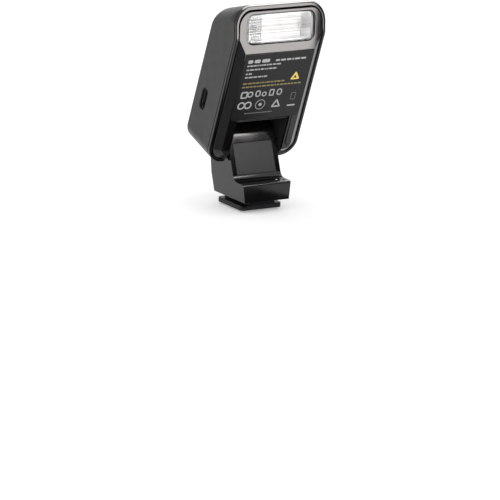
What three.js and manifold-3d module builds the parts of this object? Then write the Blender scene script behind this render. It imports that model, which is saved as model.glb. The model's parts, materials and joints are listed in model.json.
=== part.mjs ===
// A small folding speedlight: a lamp head on a friction hinge, a leaning neck with a square toe,
// and an accessory-shoe foot with sprung contacts.
// Lengths are in millimetres and angles in degrees. +Z is up, the lamp side faces -Y, and the
// origin is the centre of the foot's sole.
import * as THREE from 'three';
import { mergeVertices } from 'three/addons/utils/BufferGeometryUtils.js';
import Module from 'manifold-3d';

const wasm = await Module();
wasm.setup();

// ---------------------------------------------------------------- driving dimensions

const FIT = 0.1; // gap between pieces that touch in the real object
const PLAY = 0.25; // gap round a piece that slides or turns

const FOOT = { width: 18.6, length: 18.5, thick: 2, riserWidth: 12.3, riserTop: 4 };
const BASE = {
  width: 21.8, bottomWidth: 20.2, taperTop: 11.4,
  toeFront: -12.8, toeTop: 11.3, toeEdge: 1, ledgeEnd: -8.2,
  faceStart: [-4.71, 13.36], heel: [10.3, FOOT.riserTop],
};
const HINGE = { y: 7.1, z: 25.28, barrel: 6.85, lean: 20 };
const PANEL = { width: 17.9, height: 12.65, thick: 0.9 };

// Head sizes are in the head's own frame: origin on the hinge axis, y back, z up.
const HEAD = {
  width: 40.5, bottom: -4.5, top: 62.6, backTop: 54, front: -8.6, back: 10.4,
  corner: 7, wall: 1.3, backWall: 1.65, rim: 1.35, rimDepth: 1.35,
  bend: 51.3, incline: 24, // above the bend the front leans back by the incline
};
const SHELL_SETBACK = HEAD.rimDepth + 0.15; // from the front of the rim to the casing's edge
const SLOPE_START = -2.1; // where the casing's top begins to fall away towards the back
const FASCIA = { inset: 1.65, front: -10.6, wallInset: 2.9, wall: 1.4, skirt: -1, lowSkirt: -4.4 };
const RECESS = { half: 12, top: 13.7, chamfer: 0.8 };
const FACET = { start: 45.7, incline: 20.5 }; // where the raised front meets the lens facet, and its lean
const LABEL = { half: 15.4, bottom: 15.5, top: FACET.start - 0.5, corner: 2.2, thick: 0.25 };
const LENS = { z: 54.4, width: 30, height: 11.2, corner: 2.6, gap: 0.3 };
const REFLECTOR = { mouth: 1.9, depth: 7.6, wall: 0.4 };
const TUBE = { radius: 1.5, length: 22, depth: 5.2 };
const USB = { y: 3.2, z: 17.7, width: 9.4, thick: 3.6 };
const BACK = { half: 17, bottom: 15.5, top: 50.5, thick: 1, corner: 3, ledge: 3.4 };
const SCREW = { head: 1.25, headThick: 0.6, shank: 0.65, length: 3, x: 15.2, low: 17.3, high: 48.7 };
const BUTTON = { flange: 0.7, flangeThick: 0.5, proud: 0.5, travel: 0.4 };
const PIN = { shaft: 1.5, bore: 1.8, head: 2.3, end: 16.1 };

// ---------------------------------------------------------------- solids

/** The closed solid of a three.js geometry. */
function solidOf(geometry) {
  const bare = geometry.clone();
  bare.deleteAttribute('normal');
  bare.deleteAttribute('uv');
  const merged = mergeVertices(bare, 1e-5);
  return new wasm.Manifold(new wasm.Mesh({
    numProp: 3,
    vertProperties: new Float32Array(merged.attributes.position.array),
    triVerts: new Uint32Array(merged.index.array),
  }));
}

/** The three.js geometry of a solid. */
function geometryOf(solid) {
  const mesh = solid.getMesh();
  const geometry = new THREE.BufferGeometry();
  geometry.setAttribute('position', new THREE.BufferAttribute(mesh.vertProperties, 3));
  geometry.setIndex(new THREE.BufferAttribute(mesh.triVerts, 1));
  const flat = geometry.toNonIndexed();
  flat.computeVertexNormals();
  return flat;
}

const cut = (solid, ...tools) => tools.reduce((left, tool) => left.subtract(tool), solid);
const join = (solid, ...others) => others.reduce((whole, other) => whole.add(other), solid);

/** A point from its place along an axis and its two places across it, in x, y, z order. */
function along(axis, place, [a, b]) {
  if (axis === 'x') return new THREE.Vector3(place, a, b);
  if (axis === 'y') return new THREE.Vector3(a, place, b);
  return new THREE.Vector3(a, b, place);
}

/** A closed solid through rings of matching points; the first and last rings are capped. */
function loft(axis, sections) {
  const rings = sections.map(([place, outline]) => outline.map((p) => along(axis, place, p)));
  const count = rings[0].length;
  const faces = [];
  for (let r = 0; r + 1 < rings.length; r++) {
    for (let i = 0; i < count; i++) {
      const a = r * count + i;
      const b = r * count + ((i + 1) % count);
      faces.push([a, b, b + count], [a, b + count, a + count]);
    }
  }
  const lastRing = (rings.length - 1) * count;
  faces.push(...capOf(sections[0][1]).map(([a, b, c]) => [a, c, b]));
  faces.push(...capOf(sections.at(-1)[1]).map((face) => face.map((i) => i + lastRing)));
  return closedSolid(rings.flat(), faces);
}

/** Triangles filling an outline, all turning the same way as the outline does. */
function capOf(outline) {
  const points = outline.map(([a, b]) => new THREE.Vector2(a, b));
  const turn = Math.sign(THREE.ShapeUtils.area(points));
  return THREE.ShapeUtils.triangulateShape(points, []).map(([a, b, c]) => {
    const sameTurn = Math.sign(THREE.ShapeUtils.area([points[a], points[b], points[c]])) === turn;
    return sameTurn ? [a, b, c] : [a, c, b];
  });
}

/** The solid bounded by the faces, turned to face outwards. */
function closedSolid(points, faces) {
  const volume = faces.reduce((sum, [a, b, c]) => {
    const normal = points[b].clone().cross(points[c]);
    return sum + points[a].dot(normal);
  }, 0);
  const outward = volume > 0 ? faces : faces.map(([a, b, c]) => [a, c, b]);
  const geometry = new THREE.BufferGeometry().setFromPoints(points);
  geometry.setIndex(outward.flat());
  return solidOf(geometry);
}

/** An outline pushed straight from one place to another along an axis. */
const prism = (axis, outline, from, to) => loft(axis, [[from, outline], [to, outline]]);

/** A box from its lowest corner to its highest. */
function block([x0, y0, z0], [x1, y1, z1]) {
  const geometry = new THREE.BoxGeometry(x1 - x0, y1 - y0, z1 - z0);
  return solidOf(geometry.translate((x0 + x1) / 2, (y0 + y1) / 2, (z0 + z1) / 2));
}

/** A solid of revolution from [radius, place] pairs, about an axis through a centre. */
function turned(axis, profile, [a, b], sides = 24) {
  const low = profile[0][1];
  const high = profile.at(-1)[1];
  const points = [[0, low], ...profile, [0, high]].map(([r, t]) => new THREE.Vector2(r, t));
  const geometry = new THREE.LatheGeometry(points, sides);
  if (axis === 'x') geometry.rotateZ(-Math.PI / 2).translate(0, a, b);
  if (axis === 'y') geometry.translate(a, 0, b);
  if (axis === 'z') geometry.rotateX(Math.PI / 2).translate(a, b, 0);
  return solidOf(geometry);
}

const disc = (axis, radius, from, to, centre, sides) =>
  turned(axis, [[radius, from], [radius, to]], centre, sides);

/** A rectangle with round corners, as an outline of [a, b] points. */
function roundRect([a0, b0], [a1, b1], radius, steps = 5) {
  const corners = [[a1, b0, -90], [a1, b1, 0], [a0, b1, 90], [a0, b0, 180]];
  return corners.flatMap(([a, b, start]) => {
    const ca = a - Math.sign(a - (a0 + a1) / 2) * radius;
    const cb = b - Math.sign(b - (b0 + b1) / 2) * radius;
    return Array.from({ length: steps + 1 }, (_, i) => {
      const angle = THREE.MathUtils.degToRad(start + (90 * i) / steps);
      return [ca + radius * Math.cos(angle), cb + radius * Math.sin(angle)];
    });
  });
}

const centredRect = (width, height, radius, [a, b] = [0, 0], steps = 5) =>
  roundRect([a - width / 2, b - height / 2], [a + width / 2, b + height / 2], radius, steps);

/** Points on an arc, from one angle to another, in degrees. */
function arc([a, b], radius, from, to, steps) {
  return Array.from({ length: steps + 1 }, (_, i) => {
    const angle = THREE.MathUtils.degToRad(from + ((to - from) * i) / steps);
    return [a + radius * Math.cos(angle), b + radius * Math.sin(angle)];
  });
}

/** The direction in degrees, seen from a circle's centre, of its tangent point from a point. */
function tangentAngle([a, b], [ca, cb], radius, side) {
  const toPoint = Math.atan2(b - cb, a - ca);
  const spread = Math.acos(radius / Math.hypot(a - ca, b - cb));
  return THREE.MathUtils.radToDeg(toPoint + side * spread);
}

// ---------------------------------------------------------------- materials

const finish = (color, roughness, metalness = 0, more = {}) =>
  new THREE.MeshStandardMaterial({ color, roughness, metalness, ...more });

const material = {
  satinShell: finish(0x2b2b2c, 0.55),
  glossBlack: finish(0x0d0d0e, 0.15),
  matteBlack: finish(0x1a1a1b, 0.7),
  panelGrey: finish(0x3a3a3b, 0.6),
  label: finish(0x232324, 0.65),
  lens: finish(0xeef1f2, 0.1, 0, { transparent: true, opacity: 0.4 }),
  lamp: finish(0xf5f2e8, 0.2, 0, { transparent: true, opacity: 0.6 }),
  mirror: finish(0xe6e6e6, 0.12, 1),
  steel: finish(0x9a9a9c, 0.35, 1),
  brass: finish(0xc8a55a, 0.3, 1),
  blackMetal: finish(0x1b1b1d, 0.35, 1),
  board: finish(0x1f5a33, 0.5),
  battery: finish(0x8f98a3, 0.45),
  capacitor: finish(0x15161a, 0.4),
  coil: finish(0xb4631f, 0.45, 0.6),
  rubber: finish(0x202021, 0.8),
  indicator: finish(0x9fb4b8, 0.25, 0, { transparent: true, opacity: 0.6 }),
};

function node(name, solid, look) {
  const mesh = new THREE.Mesh(geometryOf(solid), look);
  mesh.name = name;
  return mesh;
}

// ---------------------------------------------------------------- foot and contacts

const SOLE_SCREWS = [[-4.2, -6.9], [4.2, -6.9], [-4.2, 6.9], [4.2, 6.9]];
const CONTACTS = [
  { at: [0, 0], radius: 1.2 },
  { at: [-2.4, 3.4], radius: 0.6 },
  { at: [2.4, 3.4], radius: 0.6 },
  { at: [-4.7, 0.9], radius: 0.6 },
  { at: [4.7, 0.9], radius: 0.6 },
];
const CONTACT = { proud: 0.5, flange: 0.5, flangeLow: 5.45, flangeHigh: 5.95 };
const BASE_PLATE = { half: 8.8, front: -11, back: 7.4, top: 5.3, corner: 1.5 };
const CONTACT_BOARD = { half: 7.4, front: -5.5, back: 5.5, low: 6.55, high: 7.35 };
const CAVITY = { half: 8.2, front: -9.6, back: 6.2, top: 9 };
const FOOT_SCREW = { head: 1.35, headThick: 0.9, shank: 0.7, top: 8.4 };

function footBlank() {
  const plate = centredRect(FOOT.width, FOOT.length, 1.6);
  const riser = centredRect(FOOT.riserWidth, FOOT.length, 0.8);
  return join(
    loft('z', [
      [0, centredRect(FOOT.width - 0.6, FOOT.length - 0.6, 1.3)],
      [0.3, plate],
      [FOOT.thick, plate],
    ]),
    prism('z', riser, FOOT.thick - 0.5, FOOT.riserTop - FIT),
  );
}

function shoeFoot() {
  const contactHoles = CONTACTS.map(({ at, radius }) => disc('z', radius + PLAY, -1, 5, at));
  const screwHoles = SOLE_SCREWS.flatMap((at) => [
    disc('z', FOOT_SCREW.head + FIT, -1, FOOT_SCREW.headThick + 2 * FIT, at),
    disc('z', FOOT_SCREW.shank + FIT, -1, 5, at),
  ]);
  return node('shoe_foot', cut(footBlank(), ...contactHoles, ...screwHoles), material.blackMetal);
}

function footScrew(at, index) {
  const { head, headThick, shank, top } = FOOT_SCREW;
  const profile = [[head, FIT], [head, FIT + headThick], [shank, FIT + headThick], [shank, top]];
  return node(`foot_screw_${index + 1}`, turned('z', profile, at, 16), material.steel);
}

function contactPin({ at, radius }, index) {
  const { proud, flange, flangeLow, flangeHigh } = CONTACT;
  const profile = [
    [radius * 0.6, -proud], [radius, -proud + radius * 0.3], [radius, flangeLow],
    [radius + flange, flangeLow], [radius + flange, flangeHigh],
  ];
  return node(`contact_pin_${index + 1}`, turned('z', profile, at, 16), material.brass);
}

function basePlate() {
  const { half, front, back, top, corner } = BASE_PLATE;
  const plate = prism('z', roundRect([-half, front], [half, back], corner), FOOT.riserTop, top);
  const holes = CONTACTS.map(({ at, radius }) => disc('z', radius + PLAY, 3, 6, at));
  const screwHoles = SOLE_SCREWS.map((at) => disc('z', FOOT_SCREW.shank + FIT, 3, 6, at));
  return node('base_plate', cut(plate, ...holes, ...screwHoles), material.matteBlack);
}

function contactBoard() {
  const { half, front, back, low, high } = CONTACT_BOARD;
  return node('contact_board', block([-half, front, low], [half, back, high]), material.board);
}

// ---------------------------------------------------------------- neck

const HINGE_CENTRE = [HINGE.y, HINGE.z];
const FACE_TANGENT = 360 + tangentAngle(BASE.faceStart, HINGE_CENTRE, HINGE.barrel, -1);
const HEEL_TANGENT = tangentAngle(BASE.heel, HINGE_CENTRE, HINGE.barrel, 1);
const FACE_LEAN = FACE_TANGENT - 180; // how far the neck's front face leans back, as a turn about X

/** The neck and toe seen from the side, as [y, z] points. */
function neckProfile() {
  const { toeFront, toeTop, toeEdge, ledgeEnd, faceStart, heel } = BASE;
  const [faceY, faceZ] = faceStart;
  const fillet = new THREE.QuadraticBezierCurve(
    new THREE.Vector2(ledgeEnd, toeTop),
    new THREE.Vector2(faceY - 0.75, toeTop),
    new THREE.Vector2(faceY, faceZ),
  );
  return [
    heel,
    ...arc(HINGE_CENTRE, HINGE.barrel, HEEL_TANGENT, FACE_TANGENT, 14),
    ...fillet.getPoints(5).reverse().map((p) => [p.x, p.y]),
    ...arc([toeFront + 0.2 + toeEdge, toeTop - toeEdge], toeEdge, 90, 180, 4),
    [toeFront, FOOT.riserTop],
  ];
}

/** The neck seen from the front, as [x, z] points: straight, then narrower towards the foot. */
function neckFront() {
  const half = BASE.width / 2;
  const low = BASE.bottomWidth / 2;
  const top = HINGE.z + HINGE.barrel + 1;
  return [[-low, FOOT.riserTop], [low, FOOT.riserTop], [half, BASE.taperTop], [half, top],
    [-half, top], [-half, BASE.taperTop]];
}

/** Moves a solid from the neck's face frame (z up the face, y into it) to the body frame. */
function onNeckFace(solid) {
  return solid.rotate([FACE_LEAN, 0, 0]).translate([0, ...BASE.faceStart]);
}

function neckBody() {
  const { half, front, back, top } = CAVITY;
  const low = FOOT.riserTop;
  const plate = BASE_PLATE;
  const edge = PANEL.width / 2;
  const panelPocket = block([-edge, -1, 0], [edge, PANEL.thick + FIT, PANEL.height]);
  const blank = prism('x', neckProfile(), -BASE.width, BASE.width)
    .intersect(prism('y', neckFront(), -30, 30));
  const plateSeat = roundRect(
    [-plate.half - FIT, plate.front - FIT], [plate.half + FIT, plate.back + FIT], plate.corner);
  return node('neck_body', cut(
    blank,
    prism('z', plateSeat, low - 1, plate.top + FIT),
    block([-half, front, low], [half, back, top]),
    disc('x', PIN.shaft + FIT, -BASE.width, BASE.width, HINGE_CENTRE),
    onNeckFace(panelPocket),
    disc('z', TOE_PIN.radius + FIT, TOE_PIN.low - FIT, 20, TOE_PIN.at, 16),
    disc('z', TOE_HOLE.radius, TOE_HOLE.low, 20, TOE_HOLE.at, 16),
    ...SOLE_SCREWS.map((at) => disc('z', FOOT_SCREW.shank + FIT, low, FOOT_SCREW.top + 0.5, at)),
  ), material.glossBlack);
}

const TOE_PIN = { at: [6.3, -8.9], radius: 0.5, low: 9.8, proud: 0.15 };
const TOE_HOLE = { at: [8.9, -9.9], radius: 0.7, low: 10.2 };

function toePin() {
  const { at, radius, low, proud } = TOE_PIN;
  return node('toe_pin', disc('z', radius, low, BASE.toeTop + proud, at, 16), material.steel);
}

function neckFrontPanel() {
  const edge = PANEL.width / 2 - FIT;
  const panel = prism('y', roundRect([-edge, FIT], [edge, PANEL.height - FIT], 0.4, 2), 0, PANEL.thick);
  return node('neck_front_panel', onNeckFace(panel), material.panelGrey);
}

// ---------------------------------------------------------------- hinge hardware

const WASHER = { inner: PIN.shaft + FIT, outer: 4.4, low: 11.05, high: 11.8 };
const BRACKET = { wall: 1.2, front: -9.5, back: 7.2, top: 1.2, bottom: -2.85 };
const BRACKET_TOP = RECESS.top + FIT + BRACKET.top;
const EAR = RECESS.half + BRACKET.wall;
const BUSH = { outer: 2.35, flange: 2.8, flangeThick: 0.6 };
const SPRING_WASHER = { low: EAR + 0.85, high: EAR + 1.25, outer: 2.6 };
const NUT = { low: EAR + 1.35, high: EAR + 2.4, outer: 2.5 };

function ring(axis, inner, outer, from, to, centre, sides = 24) {
  return cut(disc(axis, outer, from, to, centre, sides),
    disc(axis, inner, from - 1, to + 1, centre, sides));
}

function hingePin() {
  const headIn = -(EAR + 1);
  const profile = [
    [PIN.head, headIn - 0.8], [PIN.head, headIn], [PIN.shaft, headIn], [PIN.shaft, PIN.end],
  ];
  return node('hinge_pin', turned('x', profile, HINGE_CENTRE), material.steel);
}

function hingeWashers() {
  const { inner, outer, low, high } = WASHER;
  return [
    node('hinge_washer_left', ring('x', inner, outer, -high, -low, HINGE_CENTRE), material.brass),
    node('hinge_washer_right', ring('x', inner, outer, low, high, HINGE_CENTRE), material.brass),
  ];
}

/** The nut and its spring washer, which clamp the hinge on the right. */
function hingeClamp() {
  const inner = PIN.shaft + FIT;
  const washer = ring('x', inner, SPRING_WASHER.outer, SPRING_WASHER.low, SPRING_WASHER.high, HINGE_CENTRE);
  const nut = cut(disc('x', NUT.outer, NUT.low, NUT.high, HINGE_CENTRE, 6),
    disc('x', inner, NUT.low - 1, NUT.high + 1, HINGE_CENTRE, 24));
  return [
    node('hinge_spring_washer', washer, material.steel),
    node('hinge_nut', nut, material.steel),
  ];
}

/** A flanged bush in an ear of the head's bracket, in the head's frame. */
function hingeBush(name, side) {
  const inner = RECESS.half + 0.05;
  const shoulder = EAR + FIT;
  const outerEnd = shoulder + BUSH.flangeThick;
  const profile = [
    [BUSH.outer, inner], [BUSH.outer, shoulder], [BUSH.flange, shoulder], [BUSH.flange, outerEnd],
  ];
  const solid = cut(turned('x', profile, [0, 0]), disc('x', PIN.bore, inner - 1, outerEnd + 1, [0, 0]));
  return node(name, side > 0 ? solid : solid.mirror([1, 0, 0]), material.brass);
}

/** A U of sheet metal round the head's recess, whose two ears carry the hinge. */
function hingeBracket() {
  const { front, back, top, bottom } = BRACKET;
  const outside = block([-EAR, front, bottom], [EAR, back, BRACKET_TOP]);
  const inside = block([-RECESS.half, front - 1, bottom - 1], [RECESS.half, back + 1, BRACKET_TOP - top]);
  const holes = disc('x', BUSH.outer + FIT, -EAR - 1, EAR + 1, [0, 0]);
  return node('hinge_bracket', cut(outside, inside, holes), material.matteBlack);
}

// ---------------------------------------------------------------- head casing

/** The casing's outline at a depth, drawn in by an inset: its top falls away towards the back. */
function headOutline(y, inset) {
  const fall = (HEAD.top - HEAD.backTop) / (HEAD.back - SLOPE_START);
  const top = HEAD.top - Math.max(0, y - SLOPE_START) * fall;
  const half = HEAD.width / 2 - inset;
  const topInset = y > SLOPE_START ? inset * Math.hypot(1, fall) : inset;
  return roundRect([-half, HEAD.bottom + inset], [half, top - topInset], HEAD.corner - inset, 6);
}

/** The bent front's [y, z] line at a depth behind the rim's face: upright, then leaning back. */
function frontLine(depth) {
  const incline = THREE.MathUtils.degToRad(HEAD.incline);
  const y = HEAD.front + depth;
  const bend = HEAD.bend - depth * Math.tan(incline / 2);
  const height = 30;
  return [[y, HEAD.bottom - 10], [y, bend], [y + height * Math.tan(incline), bend + height]];
}

/** Everything in front of the bent front, set back by a depth. */
function beforeFront(depth) {
  const line = frontLine(depth);
  return prism('x', [...line, [-60, line.at(-1)[1]], [-60, line[0][1]]], -30, 30);
}

/** The space in front of and inside the recess that the neck swings through. */
function neckSlot() {
  return block([-RECESS.half, -20, HEAD.bottom - 5], [RECESS.half, HEAD.back - HEAD.backWall, 0]);
}

const screwPlaces = [
  [-SCREW.x, SCREW.low], [SCREW.x, SCREW.low], [-SCREW.x, SCREW.high], [SCREW.x, SCREW.high],
];

function headShell() {
  const { back, backWall, wall } = HEAD;
  const inside = back - backWall;
  const front = HEAD.front;
  const outer = loft('y', [
    [front, headOutline(front, 0)],
    [SLOPE_START, headOutline(SLOPE_START, 0)],
    [back - 1.1, headOutline(back - 1.1, 0)],
    [back - 0.35, headOutline(back - 0.35, 0.3)],
    [back, headOutline(back, 1)],
  ]);
  const inner = loft('y', [
    [front - 1, headOutline(front, wall)],
    [SLOPE_START, headOutline(SLOPE_START, wall)],
    [inside, headOutline(inside, wall)],
  ]);
  const { half, bottom, top, thick, corner, ledge } = BACK;
  const coverSeat = roundRect([-half - FIT, bottom - FIT], [half + FIT, top + FIT], corner);
  const opening = roundRect([-half + ledge, bottom + ledge], [half - ledge, top - ledge], 1);
  return node('head_shell', cut(
    outer, inner, beforeFront(SHELL_SETBACK), neckSlot(),
    prism('y', coverSeat, back - thick - FIT, back + 1),
    prism('y', opening, inside - 1, back + 1),
    prism('x', centredRect(USB.thick, USB.width, USB.thick / 2 - 0.01, [USB.y, USB.z]), -30, -15),
    ...screwPlaces.map((at) => disc('y', SCREW.shank + FIT, inside - 1, back + 1, at, 16)),
  ), material.satinShell);
}

function frontRim() {
  const { front, rimDepth, rim } = HEAD;
  const chamfer = 0.35;
  const frame = (inset, depth) =>
    cut(prism('y', headOutline(front, inset), front - 1, 5), beforeFront(depth));
  const behind = prism('y', headOutline(front, -5), -20, 20).subtract(beforeFront(rimDepth));
  const hole = prism('y', headOutline(front, rim), front - 2, 6);
  const bead = join(frame(0, chamfer), frame(chamfer, 0));
  return node('front_rim', cut(bead, behind, hole, neckSlot()), material.glossBlack);
}

// ---------------------------------------------------------------- front fascia, label and lens

/** Moves a solid from the lens frame (y straight into the lens) to the head frame. */
function onLensFacet(solid) {
  const rise = LENS.z - FACET.start;
  const y = FASCIA.front + rise * Math.tan(THREE.MathUtils.degToRad(FACET.incline));
  return solid.rotate([-FACET.incline, 0, 0]).translate([0, y, LENS.z]);
}

/** Everything in front of the inclined lens facet, set back by a depth. */
function beforeFacet(depth) {
  return onLensFacet(block([-30, -60, -60], [30, depth, 60]));
}

/** The raised front: a skirt, sloping side walls and a flat front, all drawn in by a wall. */
function fasciaBlock(wall) {
  const { inset, front, wallInset, skirt } = FASCIA;
  const rear = skirt + (wall > 0 ? 1 : 0);
  return loft('y', [
    [rear, headOutline(rear, inset + wall)],
    [SLOPE_START, headOutline(SLOPE_START, inset + wall)],
    [HEAD.front + wall * 0.4, headOutline(HEAD.front, inset + wall)],
    [front + wall, headOutline(HEAD.front, inset + wallInset + wall * 0.9)],
  ]);
}

const labelOutline = (grow) => {
  const { half, bottom, top, corner } = LABEL;
  return [
    ...arc([-half + corner, bottom + corner - grow], corner + grow, 180, 270, 4),
    ...arc([half - corner, bottom + corner - grow], corner + grow, 270, 360, 4),
    [half + grow, top + grow],
    [-half - grow, top + grow],
  ];
};

function frontFascia() {
  const { front, wall, skirt, lowSkirt } = FASCIA;
  const { half, top, chamfer } = RECESS;
  const hingeRoom = block([-30, lowSkirt, HEAD.bottom - 1], [30, skirt + 1, HEAD.bend - 10]);
  const outer = cut(fasciaBlock(0), beforeFacet(0), hingeRoom);
  const inner = cut(fasciaBlock(wall), beforeFacet(wall));
  const recess = block([-half, front - 1, HEAD.bottom - 1], [half, HEAD.back, top]);
  const chamferTool = block([-half, -chamfer, -chamfer], [half, chamfer, chamfer])
    .rotate([45, 0, 0]).translate([0, front, top]);
  const bracketRoom = block(
    [-EAR - FIT, BRACKET.front - FIT, HEAD.bottom], [EAR + FIT, HEAD.back, BRACKET_TOP + FIT]);
  const window = centredRect(LENS.width + 2 * LENS.gap, LENS.height + 2 * LENS.gap, LENS.corner + LENS.gap);
  return node('front_fascia', cut(
    outer, inner, recess, chamferTool, bracketRoom,
    prism('y', labelOutline(FIT), front - 1, front + LABEL.thick),
    onLensFacet(prism('y', window, -3, 4)),
  ), material.glossBlack);
}

function labelPlate() {
  const { front } = FASCIA;
  const plate = prism('y', labelOutline(0), front - FIT / 2, front - FIT / 2 + LABEL.thick - FIT / 2);
  return node('label_plate', cut(plate, beforeFacet(0.02)), material.label);
}

function lensWindow() {
  const outline = (inset) => centredRect(
    LENS.width - 2 * inset, LENS.height - 2 * inset, LENS.corner - inset, [0, 0], 6);
  const window = loft('y', [[-0.15, outline(0.45)], [0.1, outline(0)], [1.6, outline(0)]]);
  return node('lens_window', onLensFacet(window), material.lens);
}

/** A silvered trough behind the lens, open to the front. */
function reflector() {
  const { mouth, depth, wall } = REFLECTOR;
  const bowl = (inset, extra) => [0, 0.4, 0.75, 1].map((t) => {
    const width = LENS.width - 1 - 3 * t * t - 2 * inset;
    const height = LENS.height - 0.6 - 7 * t * t - 2 * inset;
    return [mouth + (depth - extra) * t, centredRect(width, height, Math.min(2, height / 2 - 0.2))];
  });
  const leadHoles = disc('x', 0.9, -20, 20, [TUBE.depth, 0], 16);
  const inner = bowl(wall, wall);
  inner.unshift([mouth - 1, inner[0][1]]);
  const trough = cut(loft('y', bowl(0, 0)), loft('y', inner), leadHoles);
  return node('reflector', onLensFacet(trough), material.mirror);
}

function flashTube() {
  const half = TUBE.length / 2;
  const tube = disc('x', TUBE.radius, -half, half, [TUBE.depth, 0], 20);
  return node('flash_tube', onLensFacet(tube), material.lamp);
}

/** A metal cap on one end of the lamp tube, with its lead. */
function tubeElectrode(name, side) {
  const start = TUBE.length / 2 + FIT;
  const profile = [[TUBE.radius, start], [TUBE.radius, start + 1.6], [0.5, start + 1.6], [0.5, start + 4.6]];
  const solid = turned('x', profile, [TUBE.depth, 0], 16);
  const sided = side > 0 ? solid : solid.mirror([1, 0, 0]);
  return node(name, onLensFacet(sided), material.steel);
}

// ---------------------------------------------------------------- what the head holds

const BOARD = { front: 5, back: 5.8, half: 16.6, bottom: 15.8, top: 43.6 };

function mainBoard() {
  const { front, back, half, bottom, top } = BOARD;
  const tongue = block([-half - 1.4, front, USB.z - 5], [-EAR - 0.5, back, bottom + 2]);
  const board = join(block([-half, front, bottom], [half, back, top]), tongue);
  const holes = screwPlaces.map((at) => disc('y', SCREW.head, front - 1, back + 1, at, 12));
  return node('main_board', cut(board, ...holes), material.board);
}

function usbSocket() {
  const [front, back] = [USB.y - 1.6, BOARD.front - FIT];
  const centre = (front + back) / 2;
  const outline = (inset) => centredRect(
    back - front - 2 * inset, 9 - 2 * inset, 1.5 - inset, [centre, USB.z]);
  const [mouth, end] = [-19.9, -13.8];
  const can = prism('x', outline(0), mouth, end);
  const hollow = prism('x', outline(0.3), mouth - 1, end - 1);
  const tongue = block([mouth + 1, centre - 0.35, USB.z - 3.2], [end - 0.5, centre + 0.35, USB.z + 3.2]);
  return node('usb_socket', join(cut(can, hollow), tongue), material.steel);
}

const INSIDE = {
  battery: [[-15.4, -8.8, 18], [3.6, -3.6, 42]],
  transformer: [[-14, -2.4, 26], [-5, 4.4, 34]],
};

/** A tact switch on the board behind each button, which the pressed button reaches. */
function tactSwitch({ name, at: [x, z] }) {
  const half = 1.6;
  const front = BOARD.back + FIT;
  const back = COVER_IN - BUTTON.flangeThick - BUTTON.travel - 2 * FIT;
  const solid = block([x - half, front, z - half], [x + half, back, z + half]);
  return node(name.replace('button', 'tact_switch'), solid, material.steel);
}

function innerParts() {
  const rounded = ([[x0, y0, z0], [x1, y1, z1]], radius) =>
    prism('z', roundRect([x0, y0], [x1, y1], radius, 3), z0, z1);
  return [
    node('battery_pack', rounded(INSIDE.battery, 1.6), material.battery),
    node('charge_transformer', rounded(INSIDE.transformer, 0.6), material.coil),
    node('main_capacitor', turned('z', [[5, 17.5], [5.5, 18], [5.5, 43.5], [5, 44]], [10, -2.6]),
      material.capacitor),
    node('trigger_coil', disc('z', 2.4, 36, 43.5, [-1.2, 0.8], 20), material.coil),
  ];
}

// ---------------------------------------------------------------- rear cover and controls

const BUTTONS = [
  { name: 'mode_button', at: [0, 37.5], radius: 3.1 },
  { name: 'minus_button', at: [-8.8, 37.5], radius: 2.5 },
  { name: 'plus_button', at: [8.8, 37.5], radius: 2.5 },
  { name: 'test_button', at: [7.5, 26.5], radius: 2.8 },
];
const SWITCH = { at: [-6.6, 26.5], travel: 3, knob: 3.4, height: 2.6, slot: 3 };
const WINDOW = { width: 15, height: 2.6, z: 44.4 };

const COVER_IN = HEAD.back - BACK.thick;

function switchSlot() {
  const width = SWITCH.knob + SWITCH.travel + 2 * PLAY;
  return centredRect(width, SWITCH.slot + PLAY, 0.6, SWITCH.at, 2);
}

function rearCover() {
  const { half, bottom, top, thick, corner } = BACK;
  const outline = (inset) => roundRect([-half + inset, bottom + inset], [half - inset, top - inset], corner);
  const plate = loft('y', [
    [COVER_IN, outline(0)], [HEAD.back - 0.2, outline(0)], [HEAD.back, outline(0.2)],
  ]);
  return node('rear_cover', cut(
    plate,
    ...BUTTONS.map(({ at, radius }) => disc('y', radius + PLAY, 0, 20, at, 28)),
    prism('y', switchSlot(), 0, 20),
    prism('y', centredRect(WINDOW.width + 2 * FIT, WINDOW.height + 2 * FIT, 1, [0, WINDOW.z]), 0, 20),
    ...screwPlaces.map((at) => disc('y', SCREW.shank + FIT, 0, 20, at, 16)),
    ...screwPlaces.map((at) => disc('y', SCREW.head + FIT, HEAD.back - SCREW.headThick - FIT, 20, at, 16)),
  ), material.matteBlack);
}

function rearScrew([x, z], index) {
  const { head, headThick, shank, length } = SCREW;
  const seat = HEAD.back - headThick;
  const profile = [[shank, seat - length], [shank, seat], [head, seat], [head, HEAD.back - 0.05]];
  return node(`rear_screw_${index + 1}`, turned('y', profile, [x, z], 16), material.steel);
}

/** A round button with a flange that the cover holds in. */
function pushButton({ name, at, radius }) {
  const flangeBack = COVER_IN - FIT;
  const face = HEAD.back + BUTTON.proud;
  const profile = [
    [radius + BUTTON.flange, flangeBack - BUTTON.flangeThick], [radius + BUTTON.flange, flangeBack],
    [radius, flangeBack], [radius, face - 0.25], [radius - 0.25, face],
  ];
  return node(name, turned('y', profile, at, 28), material.rubber);
}

function powerSwitch() {
  const [x, z] = SWITCH.at;
  const left = x - SWITCH.travel / 2; // off: at the slot's left end
  const knob = prism('y', centredRect(SWITCH.knob, SWITCH.height, 0.5, [left, z], 2),
    COVER_IN - 0.8, HEAD.back + 0.8);
  const slider = prism('y', centredRect(6.4, 4.2, 0.4, [left, z], 2), COVER_IN - 1, COVER_IN - 0.3);
  return node('power_switch', join(knob, slider), material.rubber);
}

function indicatorWindow() {
  const strip = prism('y', centredRect(WINDOW.width, WINDOW.height, 0.9, [0, WINDOW.z]),
    COVER_IN - 0.4, HEAD.back - 0.05);
  return node('indicator_window', strip, material.indicator);
}

// ---------------------------------------------------------------- assembly

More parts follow.
